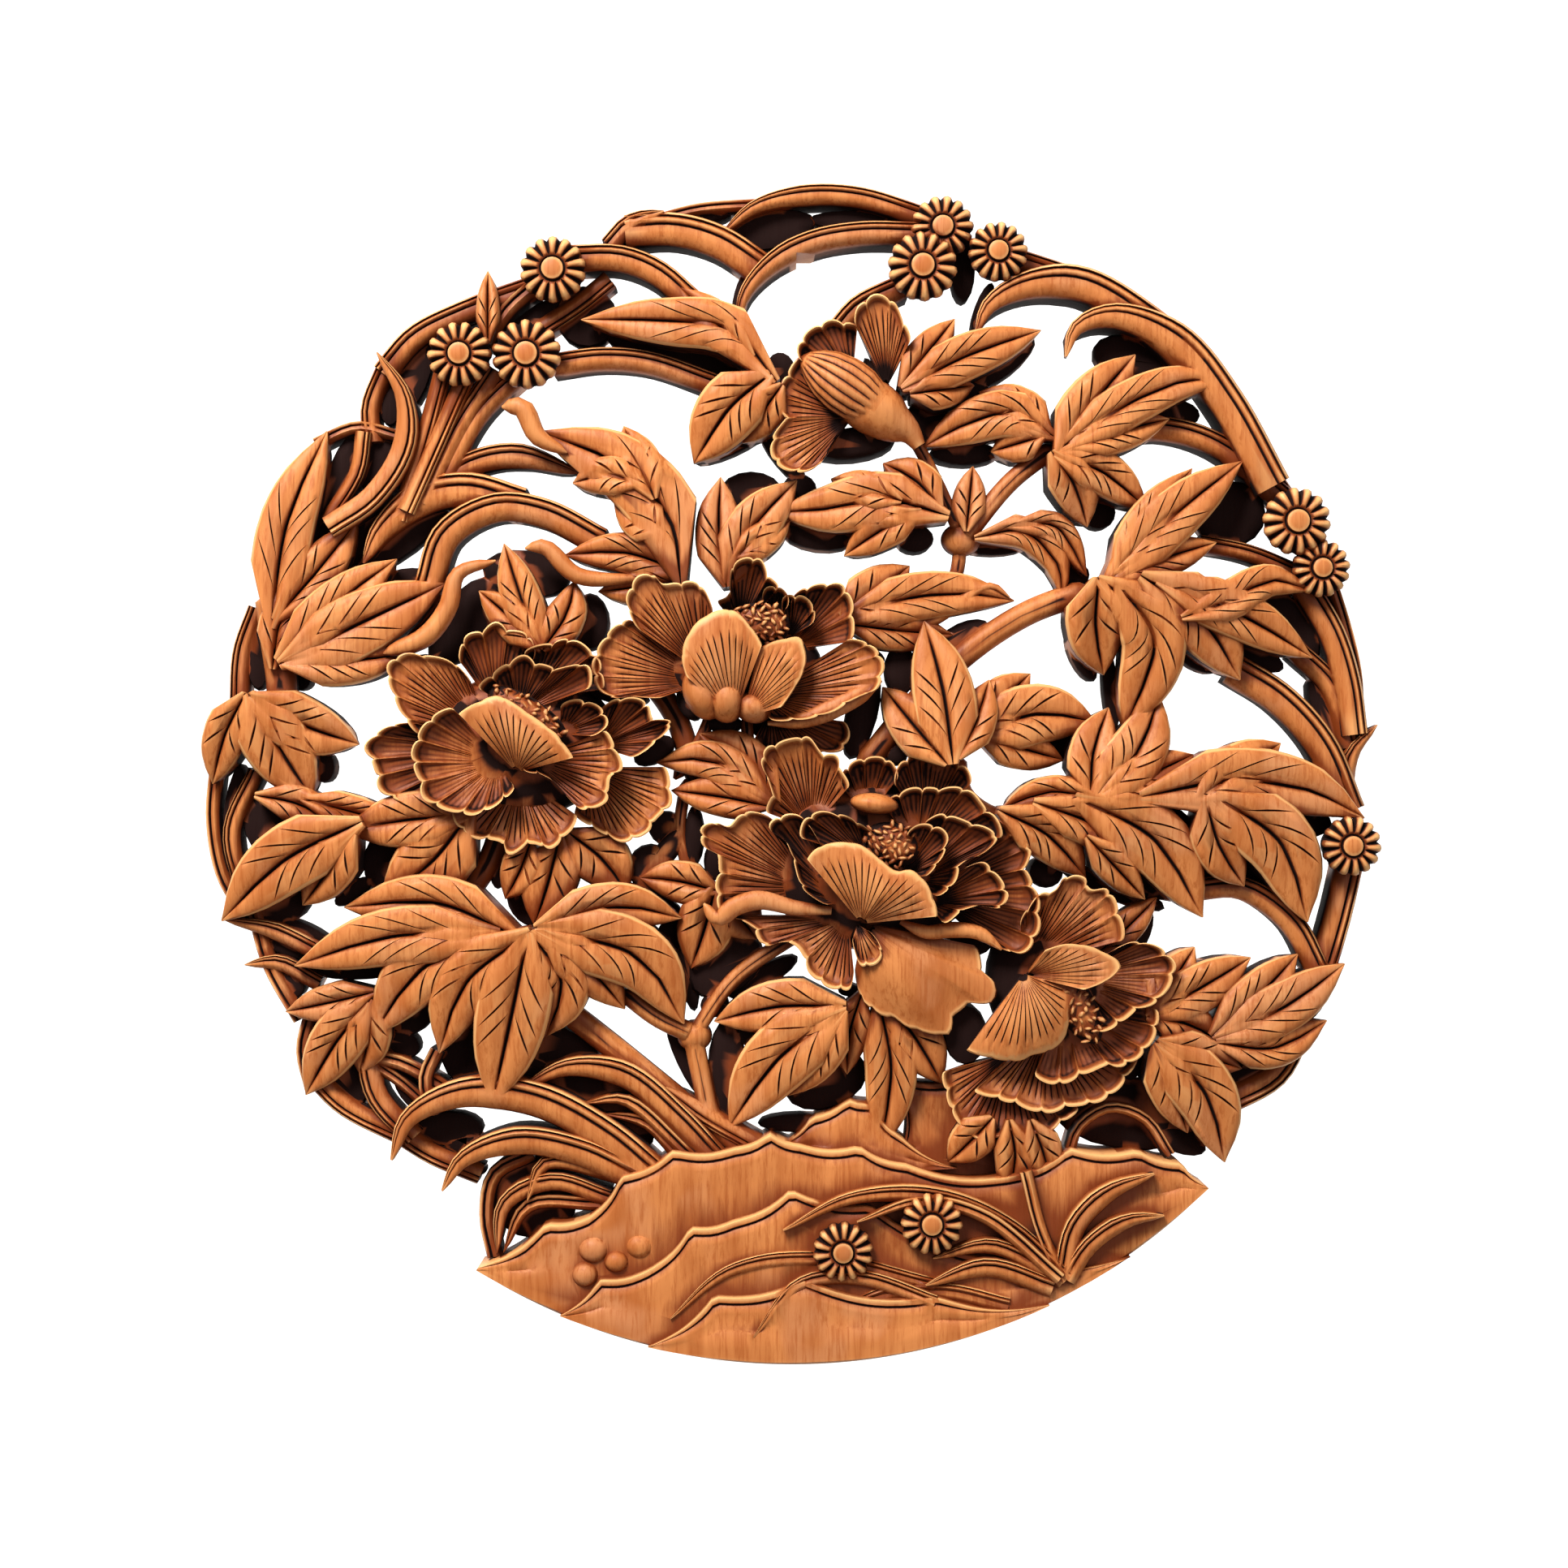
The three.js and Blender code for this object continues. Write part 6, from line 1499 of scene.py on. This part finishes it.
@dataclass
class Rock:
    """The stepped rock at the foot of the panel, with its scalloped crests, and the blocks behind it.

    Args:
        ridges: Name, height and crest of each ridge.
        blocks: Name, height, crest and base line of each block behind.
        scallop: How far a crest sags between its peaks, as a share of their distance.
        step: Millimetres between points along a crest.
        section: Distance from the crest in millimetres, depth, darkening of staining and painted shade, and lightening
            of wear and painted highlight.
        far: Share of the way to the base line, depth, darkening and lightening of the lines further down.
        arc: Spans along the round foot.
        full: Millimetres from crest to base line from which the section has its full size.
        brow: Depth below the height at which the side turns down.
        swell: How far the face rises and falls along a ridge.
    """

    ridges: Sequence[Sequence] = RIDGES
    blocks: Sequence[Sequence] = BLOCKS
    scallop: float = 0.08
    step: float = 1.8
    section: Sequence[Cut] = (
        Cut(0.0, 1.0, 0.2, 0.9), Cut(0.6, 0.1, 0.0, 0.9), Cut(1.6, 0.15, 0.1, 0.2), Cut(2.0, 0.85, 1.0),
        Cut(2.45, 0.35, 0.2), Cut(4.2, 0.1, 0.0, 0.1), Cut(8.0, 0.5, 0.1))
    far: Sequence[Cut] = (Cut(0.55, 0.35), Cut(0.8, 0.3), Cut(0.97, 0.3, 0.0, 0.4), Cut(1.0, 1.0, 0.1, 0.7))
    arc: int = 24
    full: float = 12.0
    brow: float = 1.4
    swell: float = 0.25

    def build(self) -> list[Body]:
        """Builds every ridge and block."""
        made = [self.ridge(name, height, crest, self.rim(crest)) for name, height, crest in self.ridges]
        return made + [self.ridge(*row) for row in self.blocks]

    def rim(self, crest: Sequence[float]) -> list[float]:
        """Gives the round foot that belongs to a crest.

        Args:
            crest: The crest from left to right.

        Returns:
            The foot's points from its left to its right end, x and y in turn.
        """
        cx, cy = SHEET.middle
        first, last = (math.atan2(cy - y, x - cx) for x, y in pairs(crest)[::len(crest) // 2 - 1])
        angles = [mix(first, last, k / self.arc) for k in range(self.arc + 1)]
        return [value for a in angles
                for value in (cx + SHEET.rock_radius * math.cos(a), cy - SHEET.rock_radius * math.sin(a))]

    def edge(self, crest: Sequence[float], t: float) -> Vector:
        """Gives a point of a scalloped crest.

        Args:
            crest: The crest from left to right.
            t: The point's share of the crest's length.

        Returns:
            The point in the plane of the panel.
        """
        knots = [SHEET.plan(point) for point in pairs(crest)]
        reach = reaches(knots)
        k, share = locate(reach, t * reach[-1])
        way = knots[k + 1] - knots[k]
        sag = self.scallop * math.sin(math.pi * share)
        return knots[k].lerp(knots[k + 1], share) + Vector((way.y, -way.x)) * sag

    def ridge(self, name: str, height: float, crest: Sequence[float], base: Sequence[float]) -> Body:
        """Builds one ridge between its crest and its base line.

        Args:
            name: What the ridge is called.
            height: The height of its face.
            crest: Its crest from left to right.
            base: Its base line from left to right.

        Returns:
            The ridge as a closed body.
        """
        foot = Course(base)
        rows = max(8, round(Course(crest).length / self.step) + 1)
        cuts = (*self.section, *self.far)

        def face(row: int, column: int) -> Spot:
            """Gives a spot of the carved face.

            Args:
                row: Its row.
                column: Its column.

            Returns:
                The spot.
            """
            t = row / (rows - 1)
            top, low = self.edge(crest, t), foot.at(t)
            reach = max(0.02, (low - top).length)
            cut = cuts[column]
            if column >= len(self.section):
                return Spot(top.lerp(low, cut.place), height - cut.drop, cut.stain_and_shade, cut.wear_and_highlight)
            full = min(1.0, reach / self.full)
            swell = self.swell * (math.sin(t * 23.0 + height) * ramp(3.0, 8.0, cut.place) - 1)
            return Spot(top.lerp(low, min(0.5, cut.place * full / reach)), height - cut.drop * full + swell,
                        cut.stain_and_shade * full, cut.wear_and_highlight)

        def wall(row: int, column: int, level: float, stain_and_shade: float) -> Spot:
            """Gives a spot of the side, at a share of its height."""
            return Spot(face(row, column).plan, (height - self.brow) * level, stain_and_shade)

        # The sides darken towards the back as painted shade.
        chisel = Chisel()
        chisel.patch(rows, len(cuts), face, [
            lambda row, column: wall(row, column, 0.8, 0.5), lambda row, column: wall(row, column, 0.0, 0.7)])
        return chisel.finish(name)


@dataclass
class Panel:
    """The whole panel: its bodies joined into one piece of wood, with what its material needs for staining, wear,
    painted shade and painted highlight kept at each point.

    Args:
        seat_cut: Width, depth and height of the cut that makes the flat seat, in millimetres.
        rays: How many ways a point looks for wood near it.
        sight: How far it looks, in millimetres.
        sharp: Degrees from which an edge stays sharp.
        triangles: The most triangles that the panel may have.
        merge: Millimetres within which points are one.
        passes: How many times the joined mesh is cleaned.
        clear: Millimetres above the skin from which a point looks round.
        outward: How far the ways a point looks lean outwards.
    """

    seat_cut: tuple[float, float, float] = (7.0, 40.0, 3.0)
    rays: int = 26
    sight: float = 14.0
    sharp: float = 48.0
    triangles: int = 196000
    merge: float = 0.0002
    passes: int = 3
    clear: float = 0.08
    outward: float = 0.12

    def join(self, bodies: list[Body]) -> bpy.types.Mesh:
        """Joins the bodies into one closed skin and cuts the seat.

        Args:
            bodies: The closed bodies.

        Returns:
            The mesh of all of them together, in millimetres.
        """
        first, *rest = bodies
        others = bpy.data.collections.new("others")
        scene = bpy.context.scene.collection
        scene.children.link(others)
        scene.objects.link(first)
        for body in rest:
            others.objects.link(body)
        union = first.modifiers.new("join", "BOOLEAN")
        union.operation, union.operand_type, union.solver = "UNION", "COLLECTION", "MANIFOLD"
        union.collection = others
        chisel = Chisel()
        wide, deep, tall = self.seat_cut
        bmesh.ops.create_cube(chisel.body, size=1.0, matrix=Matrix.Translation((0, 0, -tall / 2))
                              @ Matrix.Diagonal((wide, deep, tall, 1.0)))
        block = chisel.finish("seat_block")
        scene.objects.link(block)
        cut = first.modifiers.new("seat", "BOOLEAN")
        cut.operation, cut.solver, cut.object = "DIFFERENCE", "MANIFOLD", block
        joined = first.evaluated_get(bpy.context.evaluated_depsgraph_get())
        count = sum(len(face.vertices) - 2 for face in joined.data.polygons)
        LOG.info("joined: %d triangles", count)
        if count > self.triangles:
            thin = first.modifiers.new("thin", "DECIMATE")
            thin.ratio = self.triangles / count
        mesh = bpy.data.meshes.new_from_object(first.evaluated_get(bpy.context.evaluated_depsgraph_get()))
        for body in (*bodies, block):
            bpy.data.meshes.remove(body.data)
        bpy.data.collections.remove(others)
        return mesh

    def clean(self, mesh: bpy.types.Mesh) -> None:
        """Takes out faces without area, pairs of faces folded on each other and loose crumbs, and closes the gaps.

        Args:
            mesh: The joined mesh, in millimetres.
        """
        body = bmesh.new()
        body.from_mesh(mesh)
        for _ in range(self.passes):
            bmesh.ops.remove_doubles(body, verts=body.verts[:], dist=self.merge)
            bmesh.ops.dissolve_degenerate(body, edges=body.edges[:], dist=self.merge)
            bmesh.ops.triangulate(body, faces=body.faces[:])
            pairs: dict[frozenset[bmesh.types.BMVert], bmesh.types.BMFace] = {}
            folded = []
            for face in body.faces:
                twin = pairs.setdefault(frozenset(face.verts), face)
                if twin is not face:
                    folded += [twin, face]
            bmesh.ops.delete(body, geom=list(dict.fromkeys(folded)), context="FACES")
            bmesh.ops.delete(body, geom=self.crumbs(body), context="VERTS")
            gaps = [edge for edge in body.edges if edge.is_boundary]
            bmesh.ops.holes_fill(body, edges=gaps, sides=0)
            bmesh.ops.triangulate(body, faces=body.faces[:])
        uses = [len(edge.link_faces) for edge in body.edges]
        LOG.info("cleaned: %d of %d edges without two faces", sum(use != 2 for use in uses), len(uses))
        body.to_mesh(mesh)
        body.free()
        mesh.validate()

    def crumbs(self, body: bmesh.types.BMesh) -> list[bmesh.types.BMVert]:
        """Finds the points that aren't joined to the main body of wood.

        Args:
            body: The joined body.

        Returns:
            The points of all its lesser shells.
        """
        left = set(body.verts)
        shells = []
        while left:
            shell = [left.pop()]
            for vert in shell:
                near = {edge.other_vert(vert) for edge in vert.link_edges} & left
                left -= near
                shell += near
            shells.append(shell)
        main = max(shells, key=len)
        return [vert for shell in shells if shell is not main for vert in shell]

    def look_round(self, mesh: bpy.types.Mesh) -> None:
        """Notes at each point how hollow its place is and how far it stands out, which the material turns into painted
        shade in the hollows and lighter edges, partly wear and partly painted highlight.

        Args:
            mesh: The closed mesh, in millimetres.
        """
        body = bmesh.new()
        body.from_mesh(mesh)
        bmesh.ops.triangulate(body, faces=body.faces[:])
        tree = BVHTree.FromBMesh(body)
        count = self.rays
        ways = []
        for k in range(count):
            up = 1 - (k + 0.5) / count
            angle = k * GOLDEN_ANGLE
            flat = math.sqrt(1 - up * up)
            ways.append(Vector((flat * math.cos(angle), flat * math.sin(angle), up + self.outward)).normalized())
        hollow = mesh.attributes.new("hollow", "FLOAT", "POINT")
        proud = mesh.attributes.new("proud", "FLOAT", "POINT")
        for vert in body.verts:
            normal = vert.normal
            turn = normal.to_track_quat("Z", "Y")
            start = vert.co + normal * self.clear
            shut = 0.0
            for way in ways:
                hit = tree.ray_cast(start, turn @ way, self.sight)
                if hit[3] is not None:
                    shut += 1 - hit[3] / self.sight
            hollow.data[vert.index].value = shut / count
            rise = sum(((edge.other_vert(vert).co - vert.co).normalized().dot(normal) for edge in vert.link_edges))
            proud.data[vert.index].value = -rise / max(1, len(vert.link_edges))
        body.free()

    def build(self) -> Body:
        """Builds the panel as one piece.

        Returns:
            The piece, which lies inside the box of the part's solid.
        """
        bodies = []
        for part in (Grass(), Stems(), Webs(), Foliage(), Flowers(), Daisies(), Rock()):
            made = part.build()
            faces = sum(len(body.data.polygons) for body in made)
            LOG.info("%s: %d bodies, %d faces", type(part).__name__, len(made), faces)
            bodies += made
        mesh = self.join(bodies)
        self.clean(mesh)
        self.look_round(mesh)
        mesh.transform(Matrix.Scale(MILLIMETRE, 4))
        for vert in mesh.vertices:
            vert.co = [min(max(value, low), high) for value, low, high in zip(vert.co, *CAD_BOX)]
        mesh.shade_smooth()
        mesh.set_sharp_from_angle(angle=math.radians(self.sharp))
        piece = bpy.data.objects.new("panel_carving", mesh)
        bpy.context.scene.collection.objects.link(piece)
        LOG.info("panel: %d points, %d triangles", len(mesh.vertices), len(mesh.polygons))
        return piece


Colour = tuple[float, float, float, float]


class Shade:
    """A value, colour or vector in a material that can be reckoned with."""

    def __init__(self, tree: bpy.types.NodeTree, socket: bpy.types.NodeSocket | None) -> None:
        """Wraps a socket of a node tree."""
        self.tree = tree
        self.socket = socket

    def _math(self, operation: str, *values: "Shade | float") -> "Shade":
        """Adds a Math node for the values."""
        return node(self.tree, "ShaderNodeMath", {"operation": operation}, dict(enumerate(values)))

    def __add__(self, other: "Shade | float") -> "Shade":
        """Gives the sum."""
        return self._math("ADD", self, other)

    __radd__ = __add__

    def __mul__(self, other: "Shade | float") -> "Shade":
        """Gives the product."""
        return self._math("MULTIPLY", self, other)

    __rmul__ = __mul__

    def __sub__(self, other: "Shade | float") -> "Shade":
        """Gives the difference."""
        return self._math("SUBTRACT", self, other)

    def __rsub__(self, other: "Shade | float") -> "Shade":
        """Gives the difference from a number."""
        return self._math("SUBTRACT", other, self)

    def over(self, low: float, high: float) -> "Shade":
        """Gives a smooth rise from 0 at low to 1 at high."""
        return node(self.tree, "ShaderNodeMapRange", {"interpolation_type": "SMOOTHSTEP", "clamp": True},
                    {"Value": self, "From Min": low, "From Max": high})


def node(tree: bpy.types.NodeTree, kind: str, settings: dict, sockets: dict, output: str | int = 0) -> Shade:
    """Makes a node.

    Args:
        tree: The node tree that it goes into.
        kind: The node's type.
        settings: Its settings by name.
        sockets: Values or links by the name or number of its inputs.
        output: The name or number of the output that is wanted.

    Returns:
        The output, ready to be reckoned with.
    """
    made = tree.nodes.new(kind)
    for name, value in settings.items():
        setattr(made, name, value)
    for name, value in sockets.items():
        if isinstance(value, Shade):
            tree.links.new(value.socket, made.inputs[name])
        else:
            made.inputs[name].default_value = value
    return Shade(tree, made.outputs[output] if made.outputs else None)


def blend(amount: Shade, low: Shade | Colour, high: Shade | Colour) -> Shade:
    """Mixes two colours.

    Args:
        amount: The share of the second colour.
        low: The first colour.
        high: The second colour.

    Returns:
        The mixed colour.
    """
    return node(amount.tree, "ShaderNodeMix", {"data_type": "RGBA"}, {0: amount, 6: low, 7: high}, 2)


@dataclass(frozen=True)
class CarvedWood:
    """Satin orange-brown wood, darkened in its recesses partly by staining and partly by painted shade, and lightened
    on its edges partly by wear and partly by a painted highlight.

    Args:
        tan: Broad faces.
        amber: The warmer tone of the grain.
        rose: Paler, cooler patches.
        wear_and_highlight_gold: Edges and crests, lightened partly by wear and partly as a painted highlight.
        shade_umber: The deeper tone in hollows, painted shade.
        stain_and_shade_black: Cut lines, stained and in painted shade, and deep recesses in painted shade.
        roughness: How matt the wood is.
        grain: How many fibres there are in a metre across and along the grain.
        bands: How many broad bands there are in a metre across and along the grain.
        clouds: How many soft patches there are in a metre.
        lean: How far the grain leans, in degrees.
        specular: How strongly the wood mirrors.
        relief: Strength of the grain's relief, and its depth in metres.
    """

    tan: Colour = (0.61, 0.222, 0.064, 1.0)
    amber: Colour = (0.36, 0.088, 0.015, 1.0)
    rose: Colour = (0.62, 0.27, 0.115, 1.0)
    wear_and_highlight_gold: Colour = (0.84, 0.46, 0.18, 1.0)
    shade_umber: Colour = (0.165, 0.026, 0.0035, 1.0)
    stain_and_shade_black: Colour = (0.010, 0.0012, 0.0004, 1.0)
    roughness: float = 0.42
    grain: tuple[float, float] = (1150.0, 95.0)
    bands: tuple[float, float] = (170.0, 16.0)
    clouds: float = 55.0
    lean: float = 9.0
    specular: float = 0.22
    relief: tuple[float, float] = (0.35, 0.0003)

    def figure(self, place: Shade, size: tuple[float, float], detail: float, rough: float, bend: float) -> Shade:
        """Makes a pattern that is drawn out along the grain.

        Args:
            place: The place on the piece.
            size: How many there are in a metre across and along the grain.
            detail: How many finer layers it has.
            rough: How strong they are.
            bend: How far it is bent about.

        Returns:
            The pattern, from 0 to 1.
        """
        across, along = size
        drawn = node(place.tree, "ShaderNodeMapping", {}, {
            "Vector": place, "Rotation": (0.0, math.radians(self.lean), 0.0), "Scale": (across, across, along)})
        return node(place.tree, "ShaderNodeTexNoise", {}, {
            "Vector": drawn, "Scale": 1.0, "Detail": detail, "Roughness": rough, "Distortion": bend}, "Fac")

    def build(self) -> bpy.types.Material:
        """Makes the material.

        Returns:
            The material, which turns the piece's darkening and lightening, hollows and edges into staining with
            painted shade and wear with a painted highlight.
        """
        material = bpy.data.materials.new("carved_wood")
        material.use_nodes = True
        tree = material.node_tree
        tree.nodes.clear()
        place = node(tree, "ShaderNodeTexCoord", {}, {}, "Object")
        fibres = self.figure(place, self.grain, 5.0, 0.62, 0.4)
        bands = self.figure(place, self.bands, 3.0, 0.5, 0.8)
        cloud = node(tree, "ShaderNodeTexNoise", {}, {
            "Vector": place, "Scale": self.clouds, "Detail": 2.0, "Roughness": 0.5}, "Fac")
        stain_and_shade, wear_and_highlight, hollow, proud = (
            node(tree, "ShaderNodeAttribute", {"attribute_name": name}, {}, "Fac")
            for name in ("stain_and_shade", "wear_and_highlight", "hollow", "proud"))
        base = blend(bands.over(0.3, 0.72) * 0.6 + cloud.over(0.35, 0.7) * 0.35, self.tan, self.amber)
        base = blend(cloud.over(0.5, 0.66) * 0.5, base, self.rose)
        base = blend(fibres.over(0.44, 0.7) * 0.75, base, self.amber)
        # Edges and crests are lightened as wear with a painted highlight.
        edge = wear_and_highlight.over(0.25, 1.0) * 0.8 + proud.over(0.12, 0.5) * 0.4
        base = blend(edge * (0.7 + fibres * 0.5), base, self.wear_and_highlight_gold)
        # Hollows are darkened as painted shade, with some staining.
        shade = (hollow + stain_and_shade * 0.25 + (fibres - 0.5) * 0.16).over(0.06, 0.42)
        base = blend(shade * 0.92, base, self.shade_umber)
        # Cut lines and deep recesses are darkened further, as staining with painted shade.
        deep = (stain_and_shade + hollow + (cloud - 0.5) * 0.2).over(0.58, 0.98)
        base = blend(deep, base, self.stain_and_shade_black)
        rough = self.roughness + fibres * 0.16 + deep * 0.4 - edge * 0.06
        bump = node(tree, "ShaderNodeBump", {}, {
            "Strength": self.relief[0], "Distance": self.relief[1], "Height": fibres * 0.7 + bands * 0.6})
        shader = node(tree, "ShaderNodeBsdfPrincipled", {}, {
            "Base Color": base, "Roughness": rough, "Normal": bump, "Specular IOR Level": self.specular})
        node(tree, "ShaderNodeOutputMaterial", {}, {"Surface": shader})
        return material


@dataclass(frozen=True)
class Lamp:
    """A soft square lamp: its name, its place and side in metres, its power in watts and its colour."""

    name: str
    place: tuple[float, float, float]
    size: float
    power: float
    colour: tuple[float, float, float]


@dataclass
class Studio:
    """A pale backdrop, soft light from the upper left and a camera straight in front.

    Args:
        middle: The point that the camera looks at, in metres.
        reach: Metres from the front of the panel to the camera.
        seen: Metres across the view at the front of the panel.
        front: The plane that the view is measured at.
        film: Width of the camera's film in millimetres.
        lamps: The lamps.
        wall: Half the width of the backdrop, and how far it stands behind the panel.
        air: Strength of the light from all round.
    """

    middle: tuple[float, float] = (-0.00633, -0.1218)
    reach: float = 0.6
    seen: float = 0.3597
    front: float = -0.006
    film: float = 36.0
    lamps: Sequence[Lamp] = (
        Lamp("key", (-0.38, -0.62, 0.62), 0.36, 19.5, (1.0, 0.97, 0.93)),
        Lamp("fill", (0.7, -1.1, 0.2), 0.9, 4.0, (1.0, 0.98, 0.96)))
    wall: tuple[float, float] = (4.0, 1.6)
    air: float = 0.3

    def camera(self) -> None:
        """Sets up the camera."""
        data = bpy.data.cameras.new("camera")
        data.sensor_width = self.film
        data.lens = data.sensor_width * self.reach / self.seen
        data.clip_start, data.clip_end = 0.05, 20.0
        camera = bpy.data.objects.new("camera", data)
        camera.location = (self.middle[0], self.front - self.reach, self.middle[1])
        camera.rotation_euler = (math.radians(90.0), 0.0, 0.0)
        bpy.context.scene.collection.objects.link(camera)
        bpy.context.scene.camera = camera

    def hang(self, lamp: Lamp) -> None:
        """Hangs a lamp so that it faces the panel.

        Args:
            lamp: The lamp.
        """
        data = bpy.data.lights.new(lamp.name, "AREA")
        data.size, data.energy, data.color = lamp.size, lamp.power, lamp.colour
        hung = bpy.data.objects.new(lamp.name, data)
        hung.location = lamp.place
        way = Vector((self.middle[0], 0.0, self.middle[1])) - Vector(lamp.place)
        hung.rotation_euler = way.to_track_quat("-Z", "Y").to_euler()
        bpy.context.scene.collection.objects.link(hung)

    def backdrop(self) -> None:
        """Stands a pale wall far behind the panel."""
        body = bmesh.new()
        size, far = self.wall
        stand = Matrix.Translation((0.0, far, 0.0)) @ Matrix.Rotation(math.radians(90.0), 4, "X")
        bmesh.ops.create_grid(body, x_segments=1, y_segments=1, size=size, matrix=stand)
        mesh = bpy.data.meshes.new("backdrop")
        body.to_mesh(mesh)
        body.free()
        wall = bpy.data.objects.new("backdrop", mesh)
        material = bpy.data.materials.new("backdrop")
        material.use_nodes = True
        shader = material.node_tree.nodes["Principled BSDF"]
        shader.inputs["Base Color"].default_value = (0.98, 0.98, 0.97, 1.0)
        shader.inputs["Roughness"].default_value = 0.9
        shader.inputs["Emission Color"].default_value = (1.0, 1.0, 0.995, 1.0)
        shader.inputs["Emission Strength"].default_value = 0.75
        mesh.materials.append(material)
        bpy.context.scene.collection.objects.link(wall)

    def build(self) -> None:
        """Sets up the camera, the lamps, the backdrop and the pale air."""
        self.camera()
        for lamp in self.lamps:
            self.hang(lamp)
        self.backdrop()
        world = bpy.data.worlds.new("air")
        world.use_nodes = True
        world.node_tree.nodes["Background"].inputs["Color"].default_value = (1.0, 0.99, 0.98, 1.0)
        world.node_tree.nodes["Background"].inputs["Strength"].default_value = self.air
        scene = bpy.context.scene
        scene.world = world
        scene.view_settings.view_transform = "Standard"
        scene.view_settings.look = "None"


def main() -> None:
    """Builds the panel, dresses it and sets up the studio."""
    logging.basicConfig(level=logging.INFO, format="%(message)s")
    random.seed(7)
    Studio().build()
    panel = Panel().build()
    panel.data.materials.clear()
    panel.data.materials.append(CarvedWood().build())
    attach(panel, "root")
    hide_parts("carving")
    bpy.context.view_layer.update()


if __name__ == "__main__":
    main()
